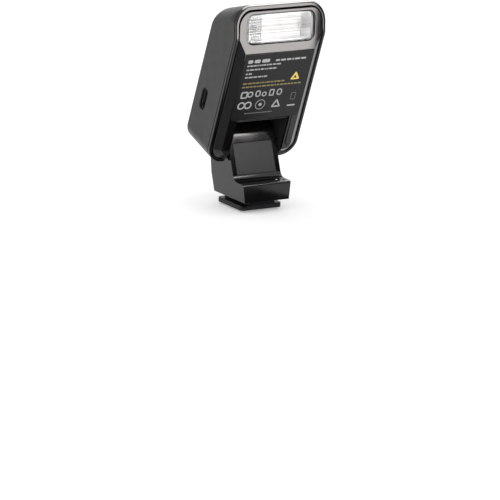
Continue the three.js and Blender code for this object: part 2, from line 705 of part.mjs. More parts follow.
const base = new THREE.Group();
base.add(
  shoeFoot(),
  ...SOLE_SCREWS.map(footScrew),
  ...CONTACTS.map(contactPin),
  basePlate(),
  contactBoard(),
  neckBody(),
  toePin(),
  neckFrontPanel(),
  hingePin(),
  ...hingeWashers(),
  ...hingeClamp(),
);

const head = new THREE.Group();
head.add(
  hingeBush('hinge_bush_left', -1),
  hingeBush('hinge_bush_right', 1),
  hingeBracket(),
  headShell(),
  frontRim(),
  frontFascia(),
  labelPlate(),
  lensWindow(),
  reflector(),
  flashTube(),
  tubeElectrode('tube_electrode_left', -1),
  tubeElectrode('tube_electrode_right', 1),
  mainBoard(),
  usbSocket(),
  ...innerParts(),
  rearCover(),
  ...screwPlaces.map(rearScrew),
  ...BUTTONS.map(tactSwitch),
  ...BUTTONS.map(pushButton),
  powerSwitch(),
  indicatorWindow(),
);
head.position.set(0, HINGE.y, HINGE.z);
head.rotation.x = THREE.MathUtils.degToRad(HINGE.lean);

const flash = new THREE.Group();
flash.add(base, head);

export default flash;
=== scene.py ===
"""Looks for a small folding speedlight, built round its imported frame.

Lengths are millimetres until a mesh, lamp or camera is made, and angles are degrees. +Z is up, the
lamp side faces -Y, and the origin is the centre of the foot's sole. Head pieces are drawn upright in
the head's own frame, whose origin is on the hinge axis, and are then leant with the head.
"""
import json
import math
import random
import bmesh
import bpy
from mathutils import Matrix, Vector


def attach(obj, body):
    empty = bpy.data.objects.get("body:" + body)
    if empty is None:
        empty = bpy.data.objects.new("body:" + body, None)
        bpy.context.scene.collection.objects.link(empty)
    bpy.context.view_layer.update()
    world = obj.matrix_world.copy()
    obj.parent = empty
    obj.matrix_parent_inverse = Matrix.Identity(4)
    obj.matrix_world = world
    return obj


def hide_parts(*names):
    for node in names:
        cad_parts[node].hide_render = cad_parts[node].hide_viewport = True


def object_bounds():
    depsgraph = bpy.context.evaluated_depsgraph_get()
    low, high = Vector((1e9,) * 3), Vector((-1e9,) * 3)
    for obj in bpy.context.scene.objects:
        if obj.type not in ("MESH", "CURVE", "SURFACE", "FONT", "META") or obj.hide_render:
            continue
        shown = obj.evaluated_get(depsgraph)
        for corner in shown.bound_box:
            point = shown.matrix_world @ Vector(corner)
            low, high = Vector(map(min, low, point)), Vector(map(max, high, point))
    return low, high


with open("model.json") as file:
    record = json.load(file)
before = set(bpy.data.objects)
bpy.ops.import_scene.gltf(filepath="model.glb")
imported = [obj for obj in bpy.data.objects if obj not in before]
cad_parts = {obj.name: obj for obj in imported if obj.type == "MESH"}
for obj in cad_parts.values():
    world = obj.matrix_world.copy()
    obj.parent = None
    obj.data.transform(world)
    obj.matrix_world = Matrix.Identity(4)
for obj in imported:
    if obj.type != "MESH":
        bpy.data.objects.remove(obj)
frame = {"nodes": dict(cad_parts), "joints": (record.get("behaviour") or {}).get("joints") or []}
CAD_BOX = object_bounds()
MM = 0.001
UPRIGHT = Matrix.Identity(4)


# ------------ places and sizes from the frame

def lean_of(node):
    """How far a node's largest forward face turns about X, in radians."""
    faces = [f for f in frame["nodes"][node].data.polygons if f.normal.y < -0.5]
    normal = max(faces, key=lambda f: f.area).normal
    return math.atan2(-normal.z, -normal.y)


def extent(node, place=UPRIGHT):
    """A node's lowest and highest corner in a frame, in mm."""
    inverse = place.inverted()
    points = [inverse @ (v.co / MM) for v in frame["nodes"][node].data.vertices]
    low = Vector([min(p[i] for p in points) for i in range(3)])
    high = Vector([max(p[i] for p in points) for i in range(3)])
    return low, high


def centre_of(node, place=UPRIGHT):
    low, high = extent(node, place)
    return (low + high) / 2


def leaning_frame(node, origin=None):
    """The frame whose y axis goes straight into a node's face, from an origin or the face's middle."""
    turned = Matrix.Rotation(lean_of(node), 4, "X")
    if origin is None:
        low, high = extent(node, turned)
        origin = turned @ Vector(((low.x + high.x) / 2, low.y, (low.z + high.z) / 2))
    return Matrix.Translation(origin) @ turned


TILT = next(joint for joint in frame["joints"] if joint["name"] == "head_tilt")
HINGE = Vector(TILT["pos_m"]) / MM
HEAD = leaning_frame("label_plate", HINGE)
LENS = leaning_frame("lens_window")
PANEL = leaning_frame("neck_front_panel")

FIT = 0.1  # gap between pieces that touch in the real object
SHELL_LOW, SHELL_HIGH = extent("head_shell", HEAD)
RIM_LOW, RIM_HIGH = extent("front_rim", HEAD)
FASCIA_LOW, FASCIA_HIGH = extent("front_fascia", HEAD)
LABEL_LOW, LABEL_HIGH = extent("label_plate", HEAD)
COVER_LOW, COVER_HIGH = extent("rear_cover", HEAD)
LABEL_FACE = FASCIA_LOW.y - 0.05
HEAD_HALF = SHELL_HIGH.x
HEAD_TOP = RIM_HIGH.z
HEAD_BOTTOM = SHELL_LOW.z
HEAD_FRONT = RIM_LOW.y
HEAD_BACK = SHELL_HIGH.y
CORNER = 7
WALL = {"side": 1.3, "back": 1.65, "rim": 1.35, "fascia": 1.4}
SLOPE = {"start": -2.1, "drop": 8.6, "blend": 1.2}  # the casing's top falls towards the back
BEND = {"z": 51.3, "angle": 24, "rim": 1.35, "shell": 1.5}  # above it the front leans back
FASCIA_INSET = 1.65  # from the casing's outline to the raised front
FASCIA_SLOPE = 2.9  # how far its side walls draw in before the flat front
RECESS = {"half": 12, "top": 14.1, "chamfer": 0.8}
SKIRT = {"back": -4.4, "below": 41.3}  # the raised front's skirt is cut short to here below a level
USB_SLOT = {"width": 3.6, "length": 9.4, "corner": 1.79}
LENS_PROUD = 0.15


# ------------ outlines

def arc(centre, radius, start, end, steps):
    """Points on an arc, from one angle to another."""
    turns = [math.radians(start + (end - start) * i / steps) for i in range(steps + 1)]
    return [(centre[0] + radius * math.cos(t), centre[1] + radius * math.sin(t)) for t in turns]


def rounded(low, high, radius, steps=8):
    """A rectangle with round corners, from its low to its high corner."""
    radius = min(radius, (high[0] - low[0]) / 2 - 0.001, (high[1] - low[1]) / 2 - 0.001)
    corners = [(high[0] - radius, low[1] + radius, -90), (high[0] - radius, high[1] - radius, 0),
               (low[0] + radius, high[1] - radius, 90), (low[0] + radius, low[1] + radius, 180)]
    return [p for a, b, start in corners for p in arc((a, b), radius, start, start + 90, steps)]


def around(low, high, gap, radius, steps=8):
    """A rectangle with round corners, a gap outside two corners, or inside them by a negative gap."""
    grow = Vector((gap, gap))
    return rounded(low - grow, high + grow, radius, steps)


def centred(width, height, radius, at=(0, 0), steps=8):
    low = (at[0] - width / 2, at[1] - height / 2)
    return rounded(low, (low[0] + width, low[1] + height), radius, steps)


def circle(radius, at=(0, 0), sides=48):
    return arc(at, radius, 0, 360 * (1 - 1 / sides), sides - 1)


def grown(outline, distance):
    """An anticlockwise outline moved outwards, or inwards by a negative distance."""
    points = []
    for i, here in enumerate(outline):
        before, after = Vector(outline[i - 1]), Vector(outline[(i + 1) % len(outline)])
        one = (Vector(here) - before).normalized()
        two = (after - Vector(here)).normalized()
        normal = Vector((one.y + two.y, -one.x - two.x)).normalized()
        stretch = distance / max(0.3, normal.dot(Vector((one.y, -one.x))))
        points.append(tuple(Vector(here) + normal * stretch))
    return points


def filleted(corners, steps=5):
    """A line through (a, b, radius) corners, each rounded by an arc of that radius."""
    points = []
    for i, (a, b, radius) in enumerate(corners):
        if not radius:
            points.append((a, b))
            continue
        here = Vector((a, b))
        back = (Vector(corners[i - 1][:2]) - here).normalized()
        on = (Vector(corners[(i + 1) % len(corners)][:2]) - here).normalized()
        half = back.angle(on) / 2
        centre = here + (back + on).normalized() * radius / math.sin(half)
        first = here + back * radius / math.tan(half) - centre
        last = here + on * radius / math.tan(half) - centre
        turn = first.angle_signed(last)
        points += [tuple(centre + Matrix.Rotation(-turn * s / steps, 2) @ first) for s in range(steps + 1)]
    return points


def edge_round(radius, steps=4):
    """(depth below the face, inset from the side) pairs down a quarter-round edge, or a sharp one."""
    if not radius:
        return [(0, 0)]
    turns = [math.pi / 2 * i / steps for i in range(steps + 1)]
    return [(radius * (1 - math.cos(t)), radius * (1 - math.sin(t))) for t in turns]


# ------------ solids

def added(name, data):
    """A new object in the scene."""
    made = bpy.data.objects.new(name, data)
    bpy.context.scene.collection.objects.link(made)
    return made


def blank(points, faces):
    """A working solid in mm, in the frame that it is drawn in."""
    mesh = bpy.data.meshes.new("blank")
    mesh.from_pydata([tuple(p) for p in points], [], faces)
    shape = bmesh.new()
    shape.from_mesh(mesh)
    bmesh.ops.recalc_face_normals(shape, faces=shape.faces)
    bmesh.ops.triangulate(shape, faces=[f for f in shape.faces if len(f.verts) > 4])
    shape.to_mesh(mesh)
    shape.free()
    return added("blank", mesh)


def spot(axis, place, point):
    """A point from its place along an axis and its two places across it, in x, y, z order."""
    a, b = point
    return {"x": (place, a, b), "y": (a, place, b), "z": (a, b, place)}[axis]


def strip(one, two, count):
    """The faces between two rings of points, from the number of each ring's first point."""
    return [(one + i, one + (i + 1) % count, two + (i + 1) % count, two + i) for i in range(count)]


def loft(axis, sections, ring=False):
    """A solid through (place, outline) sections: capped at both ends, or closed on itself as a ring."""
    count = len(sections[0][1])
    points = [spot(axis, place, p) for place, outline in sections for p in outline]
    faces = []
    for s in range(len(sections) if ring else len(sections) - 1):
        faces += strip(s * count, (s + 1) % len(sections) * count, count)
    if not ring:
        faces += [tuple(range(count)), tuple(range(len(points) - count, len(points)))]
    return blank(points, faces)


def prism(axis, outline, low, high):
    return loft(axis, [(low, outline), (high, outline)])


def slab(axis, outline, low, high, low_edge=0.0, high_edge=0.0):
    """A plate between two places along an axis, with quarter-round edges at each end."""
    sections = [(low + depth, grown(outline, -inset)) for depth, inset in edge_round(low_edge)]
    sections += [(high - depth, grown(outline, -inset)) for depth, inset in reversed(edge_round(high_edge))]
    return loft(axis, sections)


def mouth(axis, outline, inner, face, radius, over=1.0):
    """A cutter from inside a wall out through its face, which leaves the hole's edge round."""
    way = math.copysign(1, face - inner)
    sections = [(inner, outline)]
    sections += [(face - way * depth, grown(outline, inset)) for depth, inset in reversed(edge_round(radius))]
    sections.append((face + way * over, grown(outline, radius)))
    return loft(axis, sections)


def block(low, high):
    return prism("z", [(low[0], low[1]), (high[0], low[1]), (high[0], high[1]), (low[0], high[1])],
                 low[2], high[2])


def rod(axis, radius, at, low, high, sides=32):
    return prism(axis, circle(radius, at, sides), low, high)


def turned(axis, profile, at=(0, 0), sides=48):
    """A solid of revolution from (radius, place) pairs, about an axis through a centre."""
    return loft(axis, [(place, circle(max(radius, 0.004), at, sides)) for radius, place in profile])


def applied(solid):
    """A solid with its modifiers made part of its mesh."""
    graph = bpy.context.evaluated_depsgraph_get()
    result = bpy.data.meshes.new_from_object(solid.evaluated_get(graph))
    solid.modifiers.clear()
    solid.data = result
    return solid


def combine(solid, others, operation):
    for other in others:
        step = solid.modifiers.new(operation.lower(), "BOOLEAN")
        step.operation = operation
        step.solver = "MANIFOLD"
        step.object = other
    applied(solid)
    for other in others:
        bpy.data.objects.remove(other)
    return solid


def cut(solid, *tools):
    return combine(solid, tools, "DIFFERENCE")


def join(solid, *others):
    return combine(solid, others, "UNION")


def moved(solid, matrix):
    solid.data.transform(matrix)
    return solid


def bevelled(solid, width, segments=2, angle=35):
    """Rounds every edge sharper than an angle."""
    step = solid.modifiers.new("bevel", "BEVEL")
    step.width = width
    step.segments = segments
    step.limit_method = "ANGLE"
    step.angle_limit = math.radians(angle)
    return applied(solid)


def from_cad(node, width):
    """A copy of a node's solid in mm, with its triangles joined into flat faces and its edges round."""
    shape = bmesh.new()
    shape.from_mesh(frame["nodes"][node].data)
    bmesh.ops.scale(shape, vec=(1 / MM,) * 3, verts=shape.verts)
    bmesh.ops.remove_doubles(shape, verts=shape.verts, dist=0.001)
    bmesh.ops.dissolve_limit(shape, angle_limit=math.radians(1), verts=shape.verts, edges=shape.edges)
    mesh = bpy.data.meshes.new(node)
    shape.to_mesh(mesh)
    shape.free()
    return bevelled(added(node, mesh), width)


def piece(name, solid, place, body, slot, nodes=(), smooth=32):
    """A finished piece: put in place, shaded, painted, and riding on a body in place of its nodes."""
    solid.data.transform(Matrix.Scale(MM, 4) @ place)
    solid.name = solid.data.name = name
    solid.data.materials.clear()
    solid.data.materials.append(look(slot))
    solid.data.shade_smooth()
    solid.data.set_sharp_from_angle(angle=math.radians(smooth))
    weighted = solid.modifiers.new("flat_faces", "WEIGHTED_NORMAL")
    weighted.keep_sharp = True
    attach(solid, body)
    if nodes:
        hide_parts(*nodes)
    return solid


def on_base(name, solid, slot, *nodes):
    piece(name, solid, UPRIGHT, "base", slot, nodes)


def on_head(name, solid, slot, *nodes):
    piece(name, solid, HEAD, "head", slot, nodes)


# ------------ materials

class Paint:
    """One procedural material, built node by node. Sizes are in mm."""

    def __init__(self, name, colour, roughness, **inputs):
        self.material = bpy.data.materials.new(name)
        self.material.use_nodes = True
        self.tree = self.material.node_tree
        self.shader = self.tree.nodes["Principled BSDF"]
        self.place = self.add("ShaderNodeTexCoord").outputs["Object"]
        self.bumps = None
        self.set(self.shader, "Base Color", (*colour, 1))
        self.set(self.shader, "Roughness", roughness)
        for key, value in inputs.items():
            self.set(self.shader, key.replace("_", " ").title().replace("Ior", "IOR"), value)

    def add(self, kind, inputs=None, **settings):
        """A node with its settings, and a plain value or a link for each named input."""
        made = self.tree.nodes.new(kind)
        for key, value in settings.items():
            setattr(made, key, value)
        for socket, value in (inputs or {}).items():
            self.set(made, socket, value)
        return made

    def set(self, made, socket, value):
        """Gives a socket a plain value or a link."""
        if isinstance(value, bpy.types.NodeSocket):
            self.tree.links.new(value, made.inputs[socket])
        else:
            made.inputs[socket].default_value = value

    def noise(self, size, detail=2.0, stretch=(1, 1, 1)):
        """Cloudy values from 0 to 1, with lumps of about a size."""
        spread = self.add("ShaderNodeMapping", {"Vector": self.place, "Scale": stretch})
        inputs = {"Vector": spread.outputs["Vector"], "Scale": 1 / (size * MM), "Detail": detail}
        return self.add("ShaderNodeTexNoise", inputs).outputs["Fac"]

    def cells(self, size):
        """Rounded grains of about a size."""
        inputs = {"Vector": self.place, "Scale": 1 / (size * MM)}
        return self.add("ShaderNodeTexVoronoi", inputs).outputs["Distance"]

    def edges(self):
        """1 on sharp outer edges and 0 on flat faces."""
        flat, sharp = 0.51, 0.6
        return self.between(self.add("ShaderNodeNewGeometry").outputs["Pointiness"], 0, 1, flat, sharp)

    def between(self, factor, low, high, start=0.3, end=0.7):
        """A value that goes from low to high as a factor goes from start to end."""
        inputs = {"Value": factor, "From Min": start, "From Max": end, "To Min": low, "To Max": high}
        return self.add("ShaderNodeMapRange", inputs).outputs["Result"]

    def blend(self, factor, one, two):
        """A colour between two, each a triple or a link. The mix node's sockets are told by number."""
        one, two = ((*c, 1) if isinstance(c, tuple) else c for c in (one, two))
        return self.add("ShaderNodeMix", {0: factor, 6: one, 7: two}, data_type="RGBA").outputs[2]

    def bump(self, height, depth):
        """Adds relief of a depth to what is already there."""
        inputs = {"Height": height, "Distance": depth * MM}
        if self.bumps:
            inputs["Normal"] = self.bumps
        self.bumps = self.add("ShaderNodeBump", inputs).outputs["Normal"]
        self.set(self.shader, "Normal", self.bumps)

    def colour(self, value):
        self.set(self.shader, "Base Color", value)

    def rough(self, value):
        self.set(self.shader, "Roughness", value)


def shade(colour, level):
    return tuple(c * level for c in colour)


def moulded(name, colour, roughness, grain=0.12, relief=0.006, spread=0.06, wear=0.25, **inputs):
    """Moulded plastic: spark-eroded grain, cloudy gloss, and edges rubbed a little lighter."""
    paint = Paint(name, colour, roughness, **inputs)
    worn = tuple(min(1, c * (1 + wear * 2) + wear * 0.01) for c in colour)
    cloudy = paint.blend(paint.noise(9, 4), shade(colour, 0.9), shade(colour, 1.1))
    rubbed = paint.blend(paint.noise(2.5, 5), cloudy, worn)
    paint.colour(paint.blend(paint.edges(), cloudy, rubbed))
    paint.rough(paint.between(paint.noise(3, 6), roughness - spread, roughness + spread))
    paint.bump(paint.cells(grain), relief)
    paint.bump(paint.noise(grain * 0.4, 2), relief * 0.5)
    return paint.material


def polished(name, colour, roughness, **inputs):
    """Polished plastic: a slight ripple from the mould, faint haze and hairline scuffs."""
    paint = Paint(name, colour, roughness, **inputs)
    paint.colour(paint.blend(paint.noise(6, 3), shade(colour, 0.8), shade(colour, 1.3)))
    scuffs = paint.noise(0.25, 3, (1, 1, 0.08))
    haze = paint.between(paint.noise(7, 5), roughness * 0.7, roughness * 1.4)
    paint.rough(paint.between(scuffs, haze, roughness * 2.2, 0.66, 0.74))
    paint.bump(paint.noise(2.2, 1), 0.004)
    paint.bump(scuffs, 0.0008)
    return paint.material


def metal(name, colour, roughness, brushed=(1, 1, 1), tarnish=0.12):
    """Metal with a fine directional finish and slightly dull patches."""
    paint = Paint(name, colour, roughness, metallic=1.0)
    dull = shade(colour, 1 - tarnish * 2)
    paint.colour(paint.blend(paint.between(paint.noise(2.5, 6), 0, 1), colour, dull))
    lines = paint.noise(0.12, 4, brushed)
    paint.rough(paint.between(lines, roughness * 0.75, roughness * 1.3))
    paint.bump(lines, 0.003)
    return paint.material


def clear(name, tint, roughness, **inputs):
    """Clear moulded plastic or glass, with a very light haze."""
    paint = Paint(name, tint, roughness, transmission_weight=1.0, **inputs)
    paint.rough(paint.between(paint.noise(3, 4), roughness * 0.6, roughness * 1.5))
    paint.bump(paint.noise(1.5, 2), 0.001)
    return paint.material


def printed(name, colour, roughness):
    """Screen-printed ink, a little uneven where it lies on the film."""
    paint = Paint(name, colour, roughness)
    paint.colour(paint.blend(paint.noise(0.5, 5), shade(colour, 0.82), colour))
    paint.bump(paint.noise(0.15, 3), 0.003)
    return paint.material


def wound(name, colour, pitch):
    """Varnished wire, wound in close turns round Z, with painted shade darkening the grooves between the
    turns.
    """
    paint = Paint(name, colour, 0.35, metallic=0.7, coat_weight=0.6)
    waves = 0.31  # the wave texture's scale, times the length of one wave
    turns = paint.add("ShaderNodeTexWave", {"Vector": paint.place, "Scale": waves / (pitch * MM)},
                      wave_type="BANDS", bands_direction="Z", wave_profile="SIN")
    # painted shade: the colour falls to about a third of itself between the turns, where the round wire would
    # lie in shade
    paint.colour(paint.blend(turns.outputs["Fac"], shade(colour, 0.35), colour))
    paint.rough(paint.between(paint.noise(1.5, 3), 0.25, 0.45))
    paint.bump(turns.outputs["Fac"], 0.06)
    return paint.material


def board_green(name):
    """Solder mask over copper tracks, which show as slightly raised and lighter."""
    paint = Paint(name, (0.02, 0.1, 0.035), 0.35, coat_weight=0.3)
    inputs = {"Vector": paint.place, "Scale": 1 / (1.6 * MM), "Mortar Size": 0.06}
    tracks = paint.add("ShaderNodeTexBrick", inputs, offset=0.3)
    paint.colour(paint.blend(tracks.outputs["Fac"], (0.015, 0.085, 0.03), (0.05, 0.2, 0.07)))
    paint.rough(paint.between(paint.noise(2, 4), 0.28, 0.45))
    paint.bump(tracks.outputs["Fac"], 0.03)
    return paint.material


LOOKS = {
    "satin_shell": lambda n: moulded(n, (0.012, 0.012, 0.0122), 0.36, specular_ior_level=0.38),
    "gloss_black": lambda n: polished(n, (0.004, 0.004, 0.0042), 0.12),
    "matte_black": lambda n: moulded(n, (0.018, 0.018, 0.018), 0.62, grain=0.18, relief=0.012),
    "panel_grey": lambda n: moulded(n, (0.055, 0.055, 0.055), 0.38, 0.1, wear=0.1, specular_ior_level=0.2),
    "label_film": lambda n: moulded(n, (0.011, 0.011, 0.0113), 0.3, 0.07, 0.003, 0.03, 0.0,
                                    specular_ior_level=0.25),
    "ink_white": lambda n: printed(n, (0.42, 0.42, 0.42), 0.5),
    "ink_grey": lambda n: printed(n, (0.16, 0.16, 0.16), 0.5),
    "ink_gold": lambda n: printed(n, (0.26, 0.2, 0.07), 0.5),
    "ink_yellow": lambda n: printed(n, (0.85, 0.62, 0.13), 0.45),
    "lens_clear": lambda n: clear(n, (0.98, 0.985, 1.0), 0.05, ior=1.49, specular_ior_level=0.3),
    "lamp_glass": lambda n: clear(n, (0.97, 0.97, 0.94), 0.02, ior=1.46),
    "reflector_silver": lambda n: metal(n, (0.96, 0.96, 0.96), 0.22, (1, 1, 4), 0.01),
    "steel": lambda n: metal(n, (0.46, 0.46, 0.47), 0.32, (1, 1, 3)),
    "brass": lambda n: metal(n, (0.83, 0.6, 0.25), 0.25, (4, 1, 1)),
    "foot_metal": lambda n: metal(n, (0.035, 0.035, 0.037), 0.38, (1, 8, 1)),
    "circuit_board": board_green,
    "battery_wrap": lambda n: metal(n, (0.42, 0.45, 0.5), 0.42, (1, 1, 1), 0.05),
    "capacitor_sleeve": lambda n: polished(n, (0.01, 0.011, 0.016), 0.28),
    "copper_coil": lambda n: wound(n, (0.75, 0.32, 0.1), 0.3),
    "button_rubber": lambda n: moulded(n, (0.02, 0.02, 0.0205), 0.7, grain=0.1, relief=0.008),
    "indicator": lambda n: polished(n, (0.02, 0.024, 0.026), 0.1, transmission_weight=0.3),
}


def look(slot):
    """A slot's material, made the first time that it is asked for."""
    name = f"{slot}_look"
    return bpy.data.materials.get(name) or LOOKS[slot](name)


# ------------ small repeated shapes

def polygon(radius, sides, at, corner=0.35):
    """A regular polygon with a corner at its top, and slightly round corners."""
    points = arc(at, radius, 90, 90 + 360 * (1 - 1 / sides), sides - 1)
    return filleted([(*p, corner) for p in points], 3)


def tangent(point, centre, radius, side):
    """The direction, seen from a circle's centre, of its tangent point from a point."""
    reach = Vector(point) - Vector(centre)
    spread = math.acos(radius / reach.length)
    return math.degrees(math.atan2(reach.y, reach.x) + side * spread)


def curve(start, control, end):
    """Points on a quadratic curve from start to end, pulled towards a control point."""
    start, control, end = Vector(start), Vector(control), Vector(end)
    steps = [i / 10 for i in range(11)]
    return [tuple(start * (1 - t) ** 2 + control * 2 * t * (1 - t) + end * t * t) for t in steps]


def sleeve(profile, at=(0, 0)):
    """A ring about an X axis, from the corners (place, radius, fillet) of its section."""
    return loft("x", [(x, circle(r, at)) for x, r in filleted(profile, 3)], ring=True)


def screw(name, node, place, body, head, thick, shank, length):
    """A screw with a cross recess and ridges for its thread, drawn with its head towards +Z."""
    pitch = 0.45
    profile = [(head - inset, -depth) for depth, inset in edge_round(0.18, 3)]
    profile += [(head, -thick), (shank, -thick)]
    turns = int((length - thick - 0.5) / pitch)
    for i in range(turns):
        top = -thick - 0.3 - i * pitch
        profile += [(shank * 0.8, top), (shank, top - pitch / 2)]
    profile += [(shank * 0.8, -length + 0.15), (shank * 0.5, -length)]
    arm, half = head * 0.62, head * 0.14
    depth = thick * 0.6
    cross = [block((-arm, -half, -depth), (arm, half, 1)), block((-half, -arm, -depth), (half, arm, 1))]
    solid = cut(turned("z", profile, (0, 0), 32), join(*cross))
    piece(name, solid, place, body, "steel", [node])


def facing(point, direction):
    """A frame at a point whose z axis points in a direction."""
    turned_to = Vector((0, 0, 1)).rotation_difference(Vector(direction)).to_matrix().to_4x4()
    return Matrix.Translation(Vector(point)) @ turned_to


# ------------ head casing

def casing_outline(y, inset=0.0, steps=16):
    """The casing's outline at a depth: its top falls away towards the back, past a soft crease."""
    fall = SLOPE["drop"] / (HEAD_BACK - SLOPE["start"])
    past = y - SLOPE["start"]
    blend = SLOPE["blend"]
    if past > blend:
        lost = past
    elif past < -blend:
        lost = 0
    else:
        lost = (past + blend) ** 2 / (4 * blend)
    half = HEAD_HALF - inset
    slant = 1 + (math.hypot(1, fall) - 1) * min(1, max(0, (past + blend) / (2 * blend)))
    return rounded((-half, HEAD_BOTTOM + inset), (half, HEAD_TOP - lost * fall - inset * slant),
                   CORNER - inset, steps)


def front_line(depth):
    """The bent front's (y, z) line at a depth behind the rim's face: upright, then leaning back."""
    angle = math.radians(BEND["angle"])
    y, bend, height = HEAD_FRONT + depth, BEND["z"] - depth * math.tan(angle / 2), 30
    return [(y, HEAD_BOTTOM - 10), (y, bend), (y + height * math.tan(angle), bend + height)]


def before_front(depth, width=30):
    """Everything in front of the bent front, set back by a depth."""
    low, bend, high = front_line(depth)
    return prism("x", [low, bend, high, (-60, high[1]), (-60, low[1])], -width, width)


def head_shell():
    """The casing: a deep tray, open to the front, with the seat for the rear cover in its back."""
    front, back = HEAD_FRONT, HEAD_BACK
    inside = back - WALL["back"]
    rear_edge = 1.1
    crease = [SLOPE["start"] + SLOPE["blend"] * t for t in (-1, -0.6, -0.2, 0.2, 0.6, 1)]
    outer = [(y, casing_outline(y)) for y in (front, *crease[1:])]
    outer += [(back - d, casing_outline(back - d, i)) for d, i in reversed(edge_round(rear_edge, 7))]
    inner = [(front - 1, casing_outline(front, WALL["side"]))]
    inner += [(y, casing_outline(y, WALL["side"])) for y in (*crease, inside)]
    slot = centred(*USB_SLOT.values(), centre_of("usb_socket", HEAD).yz, 12)
    ledge = 3.4
    seat = around(COVER_LOW.xz, COVER_HIGH.xz, FIT, 3)
    opening = around(COVER_LOW.xz, COVER_HIGH.xz, -ledge, 1)
    neck_room = [(-RECESS["half"], -20), (RECESS["half"], -20), (RECESS["half"], inside),
                 (-RECESS["half"], inside)]
    solid = cut(
        loft("y", outer), loft("y", inner), before_front(BEND["shell"]),
        mouth("z", neck_room, 0, HEAD_BOTTOM, 0.3),
        mouth("y", seat, COVER_LOW.y - FIT, back, 0.25),
        prism("y", opening, inside - 1, back + 1),
        mouth("x", slot, -HEAD_HALF + 3, -HEAD_HALF, 0.35),
    )
    on_head("casing", solid, "satin_shell", "head_shell")


def front_rim():
    """The polished bead round the front edge of the head, bent back with the front."""
    outline = casing_outline(HEAD_FRONT, 0, 20)
    bar = prism("y", outline, HEAD_FRONT - 1, 5)
    hole = prism("y", grown(outline, -WALL["rim"]), HEAD_FRONT - 2, 6)
    behind = cut(block((-40, -30, -30), (40, 20, 90)), before_front(BEND["rim"], 60))
    bead = bevelled(cut(bar, before_front(0), behind, hole), 0.38, 4, 40)
    half = RECESS["half"]
    bead = cut(bead, block((-half, HEAD_FRONT - 5, HEAD_BOTTOM - 5), (half, 5, 0)))
    on_head("front_bead", bead, "gloss_black", "front_rim")


# ------------ raised front, label and lens

def before_facet(depth):
    """Everything in front of the inclined lens facet, set back by a depth, in the head's frame."""
    space = block((-40, -60, -60), (40, LENS_PROUD + depth, 60))
    return moved(space, HEAD.inverted() @ LENS)


def fascia_block(wall):
    """The raised front's outer shape, or the hollow inside it, a wall further in."""
    front, skirt = FASCIA_LOW.y, FASCIA_HIGH.y
    inset = FASCIA_INSET + wall
    line = [(skirt + (1 if wall else 0), inset, 0), (SLOPE["start"], inset, 0),
            (SLOPE["start"] - SLOPE["blend"], inset, 0), (HEAD_FRONT + wall * 0.4, inset, 0.3),
            (front + wall, inset + FASCIA_SLOPE - wall * 0.1, 0.25), (front + wall, inset + 6, 0)]
    sections = []
    for y, depth in filleted(line, 5):
        sections.append((y, casing_outline(max(y, HEAD_FRONT), depth, 18)))
    return loft("y", sections)


def label_outline(grow=0.0):
    """The label's outline: round corners at the bottom and square ones at the top."""
    low, high = LABEL_LOW, LABEL_HIGH
    corner = 2.2
    return [
        *arc((low.x + corner, low.z + corner), corner + grow, 180, 270, 10),
        *arc((high.x - corner, low.z + corner), corner + grow, 270, 360, 10),
        (high.x + grow, high.z + grow), (low.x - grow, high.z + grow),
    ]


def front_fascia():
    front = FASCIA_LOW.y
    wall = WALL["fascia"]
    half, top, chamfer = RECESS["half"], RECESS["top"], RECESS["chamfer"]
    bracket_low, bracket_high = extent("hinge_bracket", HEAD)
    window_low, window_high = extent("lens_window", LENS)
    window = around(window_low.xz, window_high.xz, 0.3, 2.9, 14)
    lip = block((-half, -chamfer, -chamfer), (half, chamfer, chamfer))
    lip = moved(lip, Matrix.Translation((0, front, top)) @ Matrix.Rotation(math.radians(45), 4, "X"))
    recess = block((-half, front - 1, HEAD_BOTTOM - 1), (half, HEAD_BACK, top))
    room = block(bracket_low - Vector((FIT, FIT, 9)), bracket_high + Vector((FIT, 9, FIT)))
    hollow = cut(fascia_block(wall), before_facet(wall))
    behind = block((-30, SKIRT["back"], HEAD_BOTTOM - 1), (30, 5, SKIRT["below"]))
    shape = bevelled(cut(fascia_block(0), before_facet(0)), 0.8, 4, 30)
    solid = cut(
        shape, hollow, recess, lip, room, behind,
        mouth("y", label_outline(0.12), front + 0.45, front, 0.06),
        moved(mouth("y", window, 5, LENS_PROUD, 0.3, 3), HEAD.inverted() @ LENS),
    )
    on_head("fascia", solid, "gloss_black", "front_fascia")


def label_plate():
    solid = slab("y", label_outline(), LABEL_FACE, FASCIA_LOW.y + 0.4, 0.08)
    solid = cut(solid, before_facet(0.02))
    on_head("label_film", solid, "label_film", "label_plate")


def ring_of(outline, thickness):
    """An outline drawn as a line of a thickness: the outer edge and the edge of its hole."""
    return outline, grown(outline, -thickness)


def dashes(start, end, z, height, seed):
    """A line of short dashes, which stands for a line of small print."""
    draw = random.Random(seed)
    shapes = []
    x = start
    while x < end - height:
        width = min(height * draw.uniform(0.9, 3.2), end - x)
        shapes.append((rounded((x, z - height / 2), (x + width, z + height / 2), height * 0.3, 2), None))
        x += width + height * draw.uniform(0.35, 0.6)
    return shapes


def inked(name, shapes, slot, near, far, body="head"):
    """Thin ink shapes between two depths in the head's frame, each an outline with or without a hole."""
    points, faces = [], []
    for outline, hole in shapes:
        count = len(outline)
        starts = []
        for line in (outline, hole) if hole else (outline,):
            starts.append(len(points))
            points += [(a, near, b) for a, b in line] + [(a, far, b) for a, b in line]
            faces += strip(starts[-1], starts[-1] + count, count)
        for layer in (0, count):
            if hole:
                faces += strip(starts[0] + layer, starts[1] + layer, count)
            else:
                faces.append(tuple(starts[0] + layer + i for i in range(count)))
    piece(name, blank(points, faces), HEAD, body, slot)


